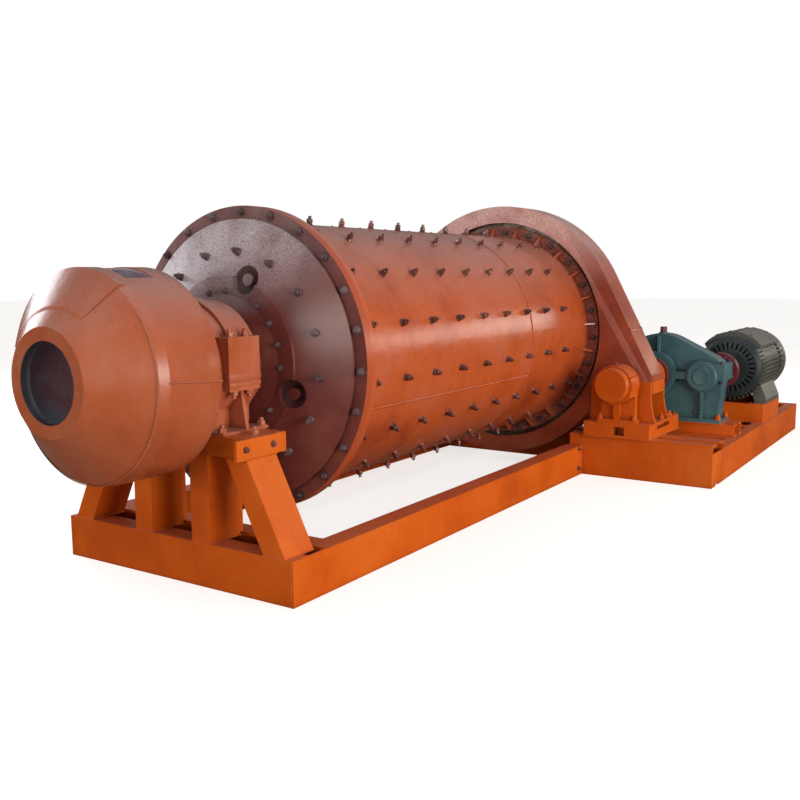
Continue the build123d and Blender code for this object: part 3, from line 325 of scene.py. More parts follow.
def primed_head(name):
    """Primer with mist and painted sheen over it, a cleaner flange, dishes and corners in painted shade
    and the drum's coat round the edge.
    """
    material, tree = blank(name)
    place = add(tree, "ShaderNodeTexCoord").outputs["Object"]
    patches = add(tree, "ShaderNodeTexNoise", {
        "Scale": 3, "Detail": 6, "Roughness": 0.65, "Vector": place,
    })
    coated = add(tree, "ShaderNodeValToRGB", {
        "stops": [(0.35, hue("#642F2C")), (0.52, hue("#763A34")), (0.7, hue("#884E40"))], "Fac": patches,
    })
    # Mist over the upper half, its pale layer also painted sheen
    mist_and_sheen_coat, grains = mist_and_sheen_over(tree, place, coated, 0.12, 0.5, 1.0)
    radius = round_axis(tree, place, 0)[0]
    flange = layer(tree, mist_and_sheen_coat, coated, radius, CONE_START_R, CONE_START_R + 0.002, 0.75)
    # The four dishes are painted dark round their plugs, as painted shade. Folding the face in four makes
    # them one
    turned = add(tree, "ShaderNodeVectorRotate", {
        "rotation_type": "X_AXIS", "Center": at(0, 0, DRUM_Z), "Angle": radians(DISH_ANGLE - 135),
        "Vector": place,
    })
    local = add(tree, "ShaderNodeVectorMath", {"operation": "SUBTRACT", 0: turned, 1: at(0, 0, DRUM_Z)})
    folded = add(tree, "ShaderNodeVectorMath", {"operation": "ABSOLUTE", 0: local})
    flat = add(tree, "ShaderNodeVectorMath", {"operation": "MULTIPLY", 0: folded, 1: (0, 1, 1)})
    middle = DISH_CIRCLE_R * sqrt(0.5)
    reach = add(tree, "ShaderNodeVectorMath", {"operation": "DISTANCE", 0: flat, 1: (0, middle, middle)})
    in_dish = add(tree, "ShaderNodeMapRange", {
        "From Min": DISH_R + 0.004, "From Max": DISH_R - 0.002, "Value": reach,
    })
    off_plug = add(tree, "ShaderNodeMapRange", {
        "From Min": PLUG_R - 0.003, "From Max": PLUG_R + 0.003, "To Max": 0.8, "Value": reach,
    })
    in_both = add(tree, "ShaderNodeMath", {"operation": "MULTIPLY", 0: in_dish, 1: off_plug})
    dishes_in_painted_shade = add(tree, "ShaderNodeMix", {"data_type": "RGBA", 0: in_both, 6: flange, 7: hue("#4A2E2E")})
    # Painted shade darkens the corners, within 40 mm of the next face
    corners = add(tree, "ShaderNodeAmbientOcclusion", {"Distance": 0.04, "samples": 4})
    dirt_and_painted_shade = layer(tree, dishes_in_painted_shade, hue("#2B1717"), corners.outputs["AO"], 0.8, 0.3, 0.7)
    edged = layer(tree, dirt_and_painted_shade, hue("#B24E28"), radius, FLANGE_R - 0.0016, FLANGE_R - 0.0008)
    bump = add(tree, "ShaderNodeBump", {"Strength": 0.5, "Distance": 0.001, "Height": grains})
    gloss = add(tree, "ShaderNodeMapRange", {"To Min": 0.22, "To Max": 0.5, "Value": patches})
    shader = add(tree, "ShaderNodeBsdfPrincipled", {
        "IOR": 1.5, "Coat Weight": 0.3, "Coat Roughness": 0.2, "Base Color": edged, "Roughness": gloss,
        "Normal": bump,
    })
    add(tree, "ShaderNodeOutputMaterial", {"Surface": shader})
    return material


finishes["head_paint"] = primed_head("red_brown_head_primer")
print("head finish:", finishes["head_paint"].name)

# %% [markdown]
# ## Steel
# Bare steel shows on the gear teeth and the shafts, and nearly bare steel on small fittings such as
# screws and nipples. It is a metal, so its colour is that of its reflection. Cut teeth have fine
# lines across them, and old grease leaves brown clouds.

# %% Steel
def steel(name, bright, brown, rough, lines, grain=(1, 1, 1)):
    """Machined steel with brown clouds of old grease. lines is the tool marks' number a metre."""
    material, tree = blank(name)
    place = add(tree, "ShaderNodeTexCoord").outputs["Object"]
    drawn = add(tree, "ShaderNodeMapping", {"Scale": grain, "Vector": place})
    marks = add(tree, "ShaderNodeTexNoise", {"Scale": lines, "Detail": 2, "Vector": drawn})
    clouds = add(tree, "ShaderNodeTexNoise", {
        "Scale": 14, "Detail": 6, "Roughness": 0.7, "Vector": place,
    })
    colour = add(tree, "ShaderNodeValToRGB", {
        "stops": [(0.36, hue(brown)), (0.62, hue(bright))], "Fac": clouds,
    })
    gloss = add(tree, "ShaderNodeMapRange", {
        "To Min": rough - 0.12, "To Max": rough + 0.18, "Value": marks,
    })
    bump = add(tree, "ShaderNodeBump", {"Strength": 0.4, "Distance": 0.0004, "Height": marks})
    shader = add(tree, "ShaderNodeBsdfPrincipled", {
        "Metallic": 0.85, "Base Color": colour, "Roughness": gloss, "Normal": bump,
    })
    add(tree, "ShaderNodeOutputMaterial", {"Surface": shader})
    return material


finishes["gear_steel"] = steel("greased_gear_steel", "#9A8A80", "#5A3A2E", 0.42, 500, (0.1, 1, 1))
finishes["shaft_steel"] = steel("turned_shaft_steel", "#A8A6A2", "#6A5E56", 0.35, 600, (1, 0.1, 0.1))
# Screws, nipples and the fan's grille are dark steel with a film of red-brown primer
fitting_steel = steel("primed_bolt_steel", "#7A5A54", "#4A2C28", 0.45, 300)
print("steels:", finishes["gear_steel"].name, finishes["shaft_steel"].name, fitting_steel.name)

# %% [markdown]
# ## Second coats on the enamel
# Some solids differ from place to place. The feeder is painted outside, but ore and water have left
# it slate grey and rusty inside, painted paler deep inside as painted light and darker on the mouth's
# wall. The shell's flange at the gear was primed with the head, and mist with painted sheen lies on
# the top of the guard. Each gets a copy of its enamel with one more layer on the colour.

# %% A copy of an enamel, open for one more layer
def opened(source, name):
    """A copy of an enamel, with its tree, its shader, its colour socket and its coordinates."""
    material = source.copy()
    material.name = name
    tree = material.node_tree
    shader = next(n for n in tree.nodes if n.type == "BSDF_PRINCIPLED")
    coat = shader.inputs["Base Color"].links[0].from_socket
    return material, tree, shader, coat, add(tree, "ShaderNodeTexCoord").outputs["Object"]


# %% Feeder finish
MOUTH_X, MOUTH_R, CONE_R = -1.0, 0.200, 0.393
CONE_LENGTH, BEVEL_END, BEVEL_RISE = 0.155, 0.200, 0.012

feeder_finish, tree, shader, coat, place = opened(feeder_paint, "feeder_enamel_dark_inside")
radius, past = round_axis(tree, place, MOUTH_X)
# The skin's radius grows along the cone and then along its bevel
cone_skin = add(tree, "ShaderNodeMapRange", {
    "From Min": 0, "From Max": CONE_LENGTH, "To Min": MOUTH_R, "To Max": CONE_R, "Value": past,
})
bevel_skin = add(tree, "ShaderNodeMapRange", {
    "From Min": CONE_LENGTH, "From Max": BEVEL_END, "To Max": BEVEL_RISE, "Value": past,
})
skin = add(tree, "ShaderNodeMath", {"operation": "ADD", 0: cone_skin, 1: bevel_skin})
under = add(tree, "ShaderNodeMath", {"operation": "SUBTRACT", 0: skin, 1: radius})
inside = add(tree, "ShaderNodeMapRange", {"From Min": 0.003, "From Max": 0.006, "Value": under})
past_lip = add(tree, "ShaderNodeMapRange", {"From Min": 0.001, "From Max": 0.004, "Value": past})
both = add(tree, "ShaderNodeMath", {"operation": "MULTIPLY", 0: inside, 1: past_lip})
# The slate and rust inside are painted paler than they are, as painted light where little light reaches
rust = add(tree, "ShaderNodeTexNoise", {"Scale": 5, "Detail": 6, "Vector": place})
inside_painted_pale = add(tree, "ShaderNodeValToRGB", {
    "stops": [(0.4, hue("#C0C8D8")), (0.62, hue("#B88E98"))], "Fac": rust,
})
# The mouth's own wall is painted darker than the drum behind it
mouth_wall_darker = layer(tree, hue("#3A4048"), inside_painted_pale, past, 0.02, 0.09)
mixed = add(tree, "ShaderNodeMix", {"data_type": "RGBA", 0: both, 6: coat, 7: mouth_wall_darker})
feed(tree, mixed, shader.inputs["Base Color"])
print("feeder finish:", feeder_finish.name)

# %% Shell finish
GEAR_FACE_X = 2.480
shell_finish, tree, shader, coat, place = opened(finishes["drum_paint"], "drum_enamel_primed_flange")
radius, past = round_axis(tree, place, GEAR_FACE_X)
on_face = add(tree, "ShaderNodeMapRange", {"From Min": -0.0015, "From Max": -0.0005, "Value": past})
off_shell = add(tree, "ShaderNodeMapRange", {
    "From Min": SHELL_R + 0.002, "From Max": SHELL_R + 0.005, "Value": radius,
})
both = add(tree, "ShaderNodeMath", {"operation": "MULTIPLY", 0: on_face, 1: off_shell})
primer = add(tree, "ShaderNodeTexNoise", {"Scale": 60, "Detail": 5, "Roughness": 0.7, "Vector": place})
primed = add(tree, "ShaderNodeValToRGB", {
    "stops": [(0.4, hue("#7E4238")), (0.55, hue("#9A5548")), (0.68, hue("#AC7468"))], "Fac": primer,
})
mixed = add(tree, "ShaderNodeMix", {"data_type": "RGBA", 0: both, 6: coat, 7: primed})
feed(tree, mixed, shader.inputs["Base Color"])
print("shell finish:", shell_finish.name)

# %% Guard finish
guard_finish, tree, shader, coat, place = opened(guard_paint, "guard_enamel_mist_and_sheen_top")
# Pale mist over the guard's top, which is also painted sheen
mist_and_sheen_coat = mist_and_sheen_over(tree, place, coat, -0.05, 0.6, 0.85, "#EECAC4")[0]
feed(tree, mist_and_sheen_coat, shader.inputs["Base Color"])
print("guard finish:", guard_finish.name)

# %% [markdown]
# ## Dress the CAD solids
# Each solid already has its slot in the record, such as frame_paint. The solid's own mesh stays as
# it is, and only its material changes.

# %% Give each solid its finish
slot_of = {part["node"]: part["material_slot"] for part in frame["record"]["subparts"]}
own_finish = {
    "shell": shell_finish, "feeder": feeder_finish, "motor_end_shield": shield_paint_in_painted_shade,
    "guard_front_plate": guard_finish, "guard_back_plate": guard_finish, "guard_rim": guard_finish,
    "feed_bearing_cap": bearing_paint, "feed_bearing_pedestal": bearing_paint,
    "discharge_bearing_cap": bearing_paint, "discharge_bearing_pedestal": bearing_paint,
}
for name, node in frame["nodes"].items():
    node.data.materials.clear()
    node.data.materials.append(own_finish.get(name, finishes[slot_of[name]]))
print("dressed", len(frame["nodes"]), "solids")

# %% [markdown]
# ## Hands
# By hand, a modeller clears the selection, shapes one thing, and copies it. These helpers do the
# same: clear what is selected, pick faces by a test, and finish a piece with its place in its mesh,
# its material and the body that it moves with.

# %% Modelling helpers
def clear():
    if bpy.context.object and bpy.context.object.mode != "OBJECT":
        bpy.ops.object.mode_set(mode="OBJECT")
    bpy.ops.object.select_all(action="DESELECT")


def pick(test):
    """In edit mode, selects only the faces that pass a test of centre and normal."""
    piece = bpy.context.object
    bpy.ops.mesh.select_mode(type="FACE")
    bpy.ops.mesh.select_all(action="DESELECT")
    bpy.ops.object.mode_set(mode="OBJECT")
    for face in piece.data.polygons:
        face.select = test(piece.matrix_world @ face.center, face.normal)
    bpy.ops.object.mode_set(mode="EDIT")


def only(piece):
    clear()
    piece.select_set(True)
    bpy.context.view_layer.objects.active = piece


# %% Finish, copy and join
def finish(piece, name, body, slot, material=None, smooth=35):
    """Names a piece, puts its place in its mesh, paints it and lets it ride on a CAD body."""
    only(piece)
    bpy.ops.object.transform_apply(location=True, rotation=True, scale=True)
    bpy.ops.object.shade_smooth_by_angle(angle=radians(smooth))
    piece.name = piece.data.name = name
    piece.data.materials.clear()
    piece.data.materials.append(material or finishes[slot])
    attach(piece, body)
    print(name, len(piece.data.polygons), "faces")
    return piece


def stand(point, up, twist=0.0):
    """The place of a copy: its foot at a point, its Z axis along up."""
    lean = Vector(up).to_track_quat("Z", "Y").to_matrix().to_4x4()
    return Matrix.Translation(point) @ lean @ Matrix.Rotation(twist, 4, "Z")


def repeat(master, places, name, body, slot, material=None, smooth=35):
    """Copies of a master, each with its own mesh, joined as one piece."""
    clear()
    for place in places:
        copy = master.copy()
        copy.data = master.data.copy()
        bpy.context.scene.collection.objects.link(copy)
        copy.matrix_world = place @ master.matrix_world
        copy.select_set(True)
    bpy.context.view_layer.objects.active = copy
    bpy.ops.object.join()
    return finish(bpy.context.object, name, body, slot, material, smooth)


def joined(pieces, name, body, slot, material=None, smooth=35):
    """Several pieces, joined as one."""
    clear()
    for piece in pieces:
        piece.select_set(True)
    bpy.context.view_layer.objects.active = pieces[0]
    if len(pieces) > 1:
        bpy.ops.object.join()
    return finish(bpy.context.object, name, body, slot, material, smooth)


# %% [markdown]
# ## One nut for many places
# Every fastener here is a hexagon nut on a washer, with the end of its stud standing out. Threads
# would not show at this distance. The nut starts as a six-sided cylinder with its top corners
# bevelled, and the washer and the stud are added to the same mesh.

# %% Nut and washer masters
masters = []


def nut(across_flats, height, washer_r, washer, stud_r, stud_rise, skirt=0.0):
    """A nut that stands on the origin and points along Z. A skirt is a sealing cone under it."""
    clear()
    foot = skirt + washer
    bpy.ops.mesh.primitive_cylinder_add(
        vertices=6, radius=across_flats / sqrt(3), depth=height, location=(0, 0, foot + height / 2)
    )
    piece = bpy.context.object
    bpy.ops.object.mode_set(mode="EDIT")
    pick(lambda centre, normal: normal.z > 0.9)
    bpy.ops.mesh.bevel(offset=height * 0.14, segments=1)
    bpy.ops.mesh.primitive_cylinder_add(
        vertices=14, radius=washer_r, depth=washer, location=(0, 0, skirt + washer / 2)
    )
    if skirt:
        bpy.ops.mesh.primitive_cone_add(
            vertices=14, radius1=washer_r * 1.15, radius2=washer_r * 0.75, depth=skirt,
            location=(0, 0, skirt / 2),
        )
    bpy.ops.mesh.primitive_cylinder_add(
        vertices=10, radius=stud_r, depth=stud_rise, location=(0, 0, foot + height + stud_rise / 2)
    )
    pick(lambda centre, normal: normal.z > 0.9 and centre.z > foot + height + stud_rise * 0.9)
    bpy.ops.mesh.bevel(offset=stud_r * 0.2, segments=1)
    only(piece)
    bpy.ops.object.transform_apply(location=True, rotation=True, scale=True)
    masters.append(piece)
    return piece


# About M16 over a seal, M18, M20 and M12
liner_nut = nut(0.025, 0.013, 0.0155, 0.003, 0.008, 0.013, skirt=0.012)
rim_nut = nut(0.027, 0.014, 0.019, 0.003, 0.009, 0.010)
frame_nut = nut(0.030, 0.015, 0.021, 0.004, 0.010, 0.013)
small_nut = nut(0.019, 0.010, 0.014, 0.003, 0.006, 0.006)
print("nut masters:", len(masters))

# %% [markdown]
# ## Liner bolts on the shell
# The drum wears steel liner plates inside, and each is held by bolts whose nuts show outside in
# sixteen rows. A rubber cone under the washer keeps the pulp in. Every fourth row has one bolt more,
# and the rows leave out the manhole.

# %% Shell liner bolts
ROWS, ROW_START, ROW_STEP, LONG_ROW = 16, 15.4, 22.5, 2
BOLT_START, BOLT_STEP = 0.140, 0.246
CLEAR_ALONG, CLEAR_UP = 0.03, 0.04
hole_low, hole_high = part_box("manhole_cover")
places = []
for row in range(ROWS):
    angle = ROW_START + ROW_STEP * row
    for column in range(10 if row % 4 == LONG_ROW else 9):
        point = round_drum(BOLT_START + BOLT_STEP * column, SHELL_R, angle)
        in_reach = hole_low.x - CLEAR_ALONG < point.x < hole_high.x + CLEAR_ALONG and point.y > drum_y
        if in_reach and hole_low.z - CLEAR_UP < point.z < hole_high.z + CLEAR_UP:
            continue
        places.append(stand(point, outward(angle), row * 0.7 + column * 1.9))
repeat(liner_nut, places, "shell_liner_bolts", "drum", "drum_paint", bolt_paint)

# %% [markdown]
# ## Bolts of the heads
# Each head is bolted to the shell's flange round its rim, and carries its own liner plates on
# sixteen bolts. The head at the gear's end also clamps the ring gear, so its nuts sit between the
# gussets.

# %% Head bolts
DISCHARGE_FACE, FLANGE_BACK = 2.580, 0.068
RIM_BOLTS, RIM_R, GEAR_RIM_R = 24, 0.642, 0.638
LINER_BOLTS, LINER_R = 16, 0.472
CONE_END_R, CONE_LOW, CONE_HIGH = 0.372, 0.014, 0.091

places = []
for face, back, back_r, out, start in (
    (0, FLANGE_BACK, RIM_R, -1, 13.7), (DISCHARGE_FACE, GEAR_FACE_X, GEAR_RIM_R, 1, 12.8),
):
    for i in range(RIM_BOLTS):
        angle = start + 360 / RIM_BOLTS * i
        places.append(stand(round_drum(face, RIM_R, angle), (out, 0, 0), i * 0.9))
        places.append(stand(round_drum(back, back_r, angle), (-out, 0, 0), i * 1.3))
repeat(rim_nut, places, "rim_bolts", "drum", "head_paint", head_bolt_paint)

slope = (CONE_HIGH - CONE_LOW) / (CONE_START_R - CONE_END_R)
rise = CONE_LOW + slope * (CONE_START_R - LINER_R)
places = []
for face, side in ((0, -1), (DISCHARGE_FACE, 1)):
    for i in range(LINER_BOLTS):
        angle = 17.0 + 360 / LINER_BOLTS * i
        up = Vector((side, 0, 0)) + slope * outward(angle)
        places.append(stand(round_drum(face + side * rise, LINER_R, angle), up, i * 0.8))
repeat(liner_nut, places, "head_liner_bolts", "drum", "head_paint", head_bolt_paint)

# %% [markdown]
# ## Weld beads
# The drum and the base are welded by hand. A bead is a row of small ripples, each left as the pool of
# metal froze behind the arc. One ripple is modelled as half a flattened ball, and the others are
# copies of it, set along each seam at the pace of a steady hand. A painted line would be lighter to
# draw, but it would not catch the light.

# %% Ripples and seams
PACE = 0.009


def ripple(width):
    """One ripple of a bead. It lies along X and looks up Z."""
    clear()
    bpy.ops.mesh.primitive_uv_sphere_add(segments=6, ring_count=4, radius=width / 2)
    piece = bpy.context.object
    bpy.ops.object.mode_set(mode="EDIT")
    bpy.ops.mesh.select_all(action="SELECT")
    bpy.ops.mesh.bisect(plane_co=(0, 0, 0), plane_no=(0, 0, 1), clear_inner=True, use_fill=True)
    bpy.ops.mesh.select_all(action="SELECT")
    bpy.ops.transform.resize(value=(0.95, 1.0, 0.55))
    only(piece)
    masters.append(piece)
    return piece


def facing(point, along, up):
    """The place of a ripple at a point of a seam."""
    along, up = Vector(along).normalized(), Vector(up).normalized()
    turn = Matrix((along, up.cross(along), up)).transposed().to_4x4()
    return Matrix.Translation(point) @ turn


def seam(start, end, up, step=PACE):
    """Ripples along a straight seam."""
    start, end = Vector(start), Vector(end)
    count = max(1, round((end - start).length / step))
    return [facing(start.lerp(end, i / count), end - start, up) for i in range(count + 1)]


def ring_seam(x, radius, tilt, first=0, sweep=360):
    """Ripples round the drum. tilt leans them along X, as in a corner."""
    count = round(radius * radians(sweep) / PACE)
    places = []
    for i in range(count):
        angle = first + sweep * i / count
        along = Vector((0, sin(radians(angle)), cos(radians(angle))))
        places.append(facing(round_drum(x, radius, angle), along, outward(angle) + Vector((tilt, 0, 0))))
    return places


drum_ripple = ripple(0.011)
frame_ripple = ripple(0.010)
print("one ripple:", len(drum_ripple.data.polygons), "faces")

# %% [markdown]
# ## Seams of the drum
# The shell is rolled from two plates. A seam runs round it where they meet, and each plate has one
# long seam of its own, set apart so that they never cross. Corner beads hold the flanges, the
# gussets and the manhole's pad.

# %% Seams of the drum
PLATE_X = 1.676
GUSSETS, GUSSET_ANGLE, GUSSET_LENGTH, GUSSET_HALF = 24, 5.3, 0.058, 0.005
places = ring_seam(PLATE_X, SHELL_R, 0)
places += ring_seam(FLANGE_BACK, SHELL_R, 1)
for x0, x1, angle in ((FLANGE_BACK, PLATE_X, -18.7), (PLATE_X, GEAR_FACE_X, 151.3)):
    places += seam(round_drum(x0, SHELL_R, angle), round_drum(x1, SHELL_R, angle), outward(angle))
for i in range(GUSSETS):
    angle = GUSSET_ANGLE + 360 / GUSSETS * i
    across_it = Vector((0, sin(radians(angle)), cos(radians(angle))))
    for side in (-1, 1):
        shift = side * GUSSET_HALF * across_it
        places += seam(
            round_drum(GEAR_FACE_X - GUSSET_LENGTH, SHELL_R, angle) + shift,
            round_drum(GEAR_FACE_X, SHELL_R, angle) + shift, outward(angle) + side * across_it, 0.010,
        )
print("ripples on the shell so far:", len(places))

# %% Seam of the manhole's pad
PAD_ANGLE, PAD_HALF_X, PAD_HALF_Y, PAD_CORNER = 166.0, 0.210, 0.180, 0.060
PAD_X = (hole_low.x + hole_high.x) / 2 - face_x


def on_pad(half_x, half_y, corner):
    """Points round a rounded rectangle, as lengths along and round the shell from its middle."""
    points = []
    for sx, sy, start in ((1, 1, 0), (-1, 1, 90), (-1, -1, 180), (1, -1, 270)):
        middle_x, middle_y = sx * (half_x - corner), sy * (half_y - corner)
        for k in range(5):
            turn = radians(start + 22.5 * k)
            points.append((middle_x + corner * cos(turn), middle_y + corner * sin(turn)))
    spaced = []
    for (ax, ay), (bx, by) in zip(points, points[1:] + points[:1]):
        count = max(1, round(sqrt((bx - ax) ** 2 + (by - ay) ** 2) / PACE))
        spaced += [(ax + (bx - ax) * k / count, ay + (by - ay) * k / count) for k in range(count)]
    return spaced


for along_x, round_it in on_pad(PAD_HALF_X, PAD_HALF_Y, PAD_CORNER):
    angle = PAD_ANGLE + round_it / SHELL_R * 180 / pi
    places.append(facing(round_drum(PAD_X + along_x, SHELL_R, angle), (1, 0, 0), outward(angle)))
repeat(drum_ripple, places, "shell_weld_beads", "drum", "drum_paint", smooth=60)

# %% [markdown]
# ## Feeder's skirt
# The feeder's drum runs on past its back plate as a skirt, which keeps splashes off the bearing. It
# could be turned from a profile, but a rolled plate is nearer to a cylinder without ends. Solidify
# gives it its wall, and its free rim is bevelled as a grinder leaves it.

# %% Skirt of rolled plate
FEEDER_R, FEEDER_BACK = CONE_R + BEVEL_RISE, -0.625
SKIRT_END, SKIRT_WALL, SKIRT_LAP = -0.550, 0.010, 0.004
skirt_length = SKIRT_END - FEEDER_BACK + SKIRT_LAP
free_rim = at(SKIRT_END, 0, 0).x
clear()
bpy.ops.mesh.primitive_cylinder_add(
    vertices=128, radius=FEEDER_R, depth=skirt_length, end_fill_type="NOTHING",
    location=at((FEEDER_BACK - SKIRT_LAP + SKIRT_END) / 2, 0, DRUM_Z), rotation=(0, radians(90), 0),
)
skirt = bpy.context.object
bpy.ops.object.modifier_add(type="SOLIDIFY")
skirt.modifiers[0].thickness = SKIRT_WALL
skirt.modifiers[0].offset = -1
bpy.ops.object.modifier_apply(modifier=skirt.modifiers[0].name)
bpy.ops.object.mode_set(mode="EDIT")
bpy.ops.mesh.select_mode(type="EDGE")
bpy.ops.mesh.select_all(action="DESELECT")
bpy.ops.object.mode_set(mode="OBJECT")
for edge in skirt.data.edges:
    ends = [skirt.matrix_world @ skirt.data.vertices[v].co for v in edge.vertices]
    edge.select = all(abs(end.x - free_rim) < 0.001 for end in ends)
bpy.ops.object.mode_set(mode="EDIT")
bpy.ops.mesh.bevel(offset=0.003, segments=2)
only(skirt)
finish(skirt, "feeder_skirt", "drum", "drum_paint", feeder_finish)

# %% [markdown]
# ## Seams of the feeder
# The feeder is plate too: a cone welded to a short drum, which has one seam along it. Both seams are
# rows of the drum's ripple, under the feeder's duller coat.

# %% Seams of the feeder
bevel_end = round_drum(MOUTH_X + BEVEL_END, FEEDER_R, 0.8)
places = ring_seam(MOUTH_X + CONE_LENGTH, CONE_R, -0.4, 110, 290)
places += seam(bevel_end, round_drum(SKIRT_END, FEEDER_R, -1.6), outward(0))
repeat(drum_ripple, places, "feeder_weld_beads", "drum", "drum_paint", feeder_paint, 60)

# %% [markdown]
# ## Manhole cover
# Fitters climb in through the manhole to change the liners. Sixteen nuts close its lid, and it is
# lifted off by two handles of bent bar.

# %% Manhole nuts
LID_RISE, HANDLE_RISE = 0.022, 0.033
lid_spots = [(0.056 * k, side * 0.118) for k in range(-2, 3) for side in (-1, 1)]
lid_spots += [(side * 0.148, 0.076 * k) for k in (-1, 0, 1) for side in (-1, 1)]
places = []
for along_x, round_it in lid_spots:
    angle = PAD_ANGLE + round_it / SHELL_R * 180 / pi
    point = round_drum(PAD_X + along_x, SHELL_R + LID_RISE, angle)
    places.append(stand(point, outward(angle), along_x * 9))
repeat(small_nut, places, "manhole_nuts", "drum", "drum_paint", bolt_paint)

# %% Manhole handles
clear()
bpy.ops.mesh.primitive_torus_add(
    major_segments=32, minor_segments=10, major_radius=0.045, minor_radius=0.006,
    rotation=(radians(90), 0, 0),
)
handle = bpy.context.object
bpy.ops.object.transform_apply(rotation=True)
bpy.ops.object.mode_set(mode="EDIT")
bpy.ops.mesh.select_all(action="SELECT")
bpy.ops.mesh.bisect(plane_co=(0, 0, 0), plane_no=(0, 0, 1), clear_inner=True)
bpy.ops.mesh.select_all(action="SELECT")
bpy.ops.mesh.region_to_loop()
bpy.ops.mesh.extrude_region_move(TRANSFORM_OT_translate={"value": (0, 0, -0.012)})
bpy.ops.mesh.edge_face_add()
only(handle)
masters.append(handle)
places = []
for side in (-1, 1):
    grip = round_drum(PAD_X + side * 0.085, SHELL_R + HANDLE_RISE, PAD_ANGLE)
    places.append(stand(grip, outward(PAD_ANGLE), radians(90)))
repeat(handle, places, "manhole_handles", "drum", "drum_paint", bolt_paint)

# %% [markdown]
# ## Trunnion joints
# Twelve nuts hold the feeder's back plate on the feed trunnion. Inside the ring of liner bolts,
# smaller studs hold each trunnion to its head. None stands in line with a dish of the head.

# %% Trunnion nuts
HUB_X, STUD_R, BACK_PLATE_R = 0.104, 0.307, 0.215
places = []
for i in range(12):
    places.append(stand(round_drum(FEEDER_BACK, BACK_PLATE_R, 15 + 30 * i), (1, 0, 0), i))
for i in range(20):
    angle = 88.4 + 18 * i
    if min((angle - DISH_ANGLE) % 90, (DISH_ANGLE - angle) % 90) < 13:
        continue
    places.append(stand(round_drum(-HUB_X, STUD_R, angle), (-1, 0, 0), i))
    places.append(stand(round_drum(DISCHARGE_FACE + HUB_X, STUD_R, angle), (1, 0, 0), i))
repeat(small_nut, places, "trunnion_nuts", "drum", "head_paint", head_bolt_paint)

# %% [markdown]
# ## Bearing fasteners
# Each trunnion bearing is split at the axis. Two studs on each ear clamp the cap to the pedestal, and
# a bolt holds each corner of the sole plate. One more stands on the cross beam beside it, and the
# beam's end plates are bolted to the struts.

# %% Nuts of the two trunnion bearings
# Each bearing as its middle and the way out of the mill
BEARINGS = ((-0.320, -1), (2.900, 1))
# On the cap's ears, under the pedestal's ears and on the sole plate: the distance from the bearing's
# middle along the drum and across it, the height, up or down, and how much the nuts' turns differ
BEARING_NUTS = ((0.045, 0.271, 0.999, 1, 20), (0.045, 0.285, 0.788, -1, 30), (0.113, 0.283, 0.632, 1, 20))
BEAM_NUT_X, BEAM_NUT_Y, BEAM_TOP = 0.017, 0.362, 0.620
places = []
for bearing_x, out in BEARINGS:
    for side in (-1, 1):
        for along, across, z, up, turns in BEARING_NUTS:
            for shift in (-along, along):
                places.append(stand(at(bearing_x + shift, side * across, z), (0, 0, up), shift * turns))
        beside = at(bearing_x + out * BEAM_NUT_X, side * BEAM_NUT_Y, BEAM_TOP)
        places.append(stand(beside, (0, 0, 1), 0.3))
repeat(frame_nut, places, "bearing_nuts", "base", "frame_paint", bearing_paint)

# %% Nuts of the struts
BEAM_END_Y, STRUT_NUTS_X, STRUT_NUT_Z = 0.420, (0.131, -0.025), 0.581
places = []
for bearing_x, out in BEARINGS:
    for side in (-1, 1):
        for shift in STRUT_NUTS_X:
            point = at(bearing_x + out * shift, side * BEAM_END_Y, STRUT_NUT_Z)
            places.append(stand(point, (0, side, 0), out * shift * 30))
repeat(small_nut, places, "strut_nuts", "base", "frame_paint", bolt_paint)

# %% [markdown]
# ## Plates and blocks
# Small bent and cut parts start as a box. Its edges are bevelled as a grinder leaves them, and its
# place is given by two corners. The first are the shims in the bearings' joints.

# %% Blocks
def block(name, low, high, bevel=0.002):
    """A box between two corners, with ground edges. It stays selected for more work."""
    low, high = Vector(low), Vector(high)
    clear()
    bpy.ops.mesh.primitive_cube_add(size=1, location=(low + high) / 2)
    piece = bpy.context.object
    piece.name = name
    piece.scale = high - low
    bpy.ops.object.transform_apply(location=True, rotation=True, scale=True)
    bpy.ops.object.mode_set(mode="EDIT")
    bpy.ops.mesh.select_all(action="SELECT")
    bpy.ops.mesh.bevel(offset=bevel, segments=2)
    only(piece)
    return piece


# %% Shims of the bearings
# Packing plates in the joint of each ear, one proud of the other as shims are
SHIM_BACK, SHIM_FACE, EAR_HALF = 0.285, 0.309, 0.0875
parts = []
for bearing_x, out in BEARINGS:
    for side in (-1, 1):
        y0, y1 = sorted((side * SHIM_BACK, side * SHIM_FACE))
        for proud, low, high in ((0.003, 0.829, 0.858), (0.002, 0.805, 0.823)):
            reach = EAR_HALF + proud
            parts.append(block("shim", at(bearing_x - reach, y0, low), at(bearing_x + reach, y1, high)))
joined(parts, "bearing_shims", "base", "frame_paint", bearing_paint)

# %% [markdown]
# ## Closing plates of the cross beams
# A cross beam's end plate stops short of the beam's inner wall. A narrow plate closes the rest of the
# box, so that no rain or pulp gets in.

# %% Closing plates
parts = []
for bearing_x, out in BEARINGS:
    for side in (-1, 1):
        x0, x1 = sorted((bearing_x - out * 0.050, bearing_x - out * 0.106))
        y0, y1 = sorted((side * 0.400, side * 0.4185))
        parts.append(block("closing", at(x0, y0, 0.5406), at(x1, y1, 0.6194), 0.0015))
joined(parts, "cross_beam_closing_plates", "base", "frame_paint")

# %% [markdown]
# ## Seams of the base
# Every foot of a column, strut and stand is welded to the beam under it, and the channels are welded
# where they meet.

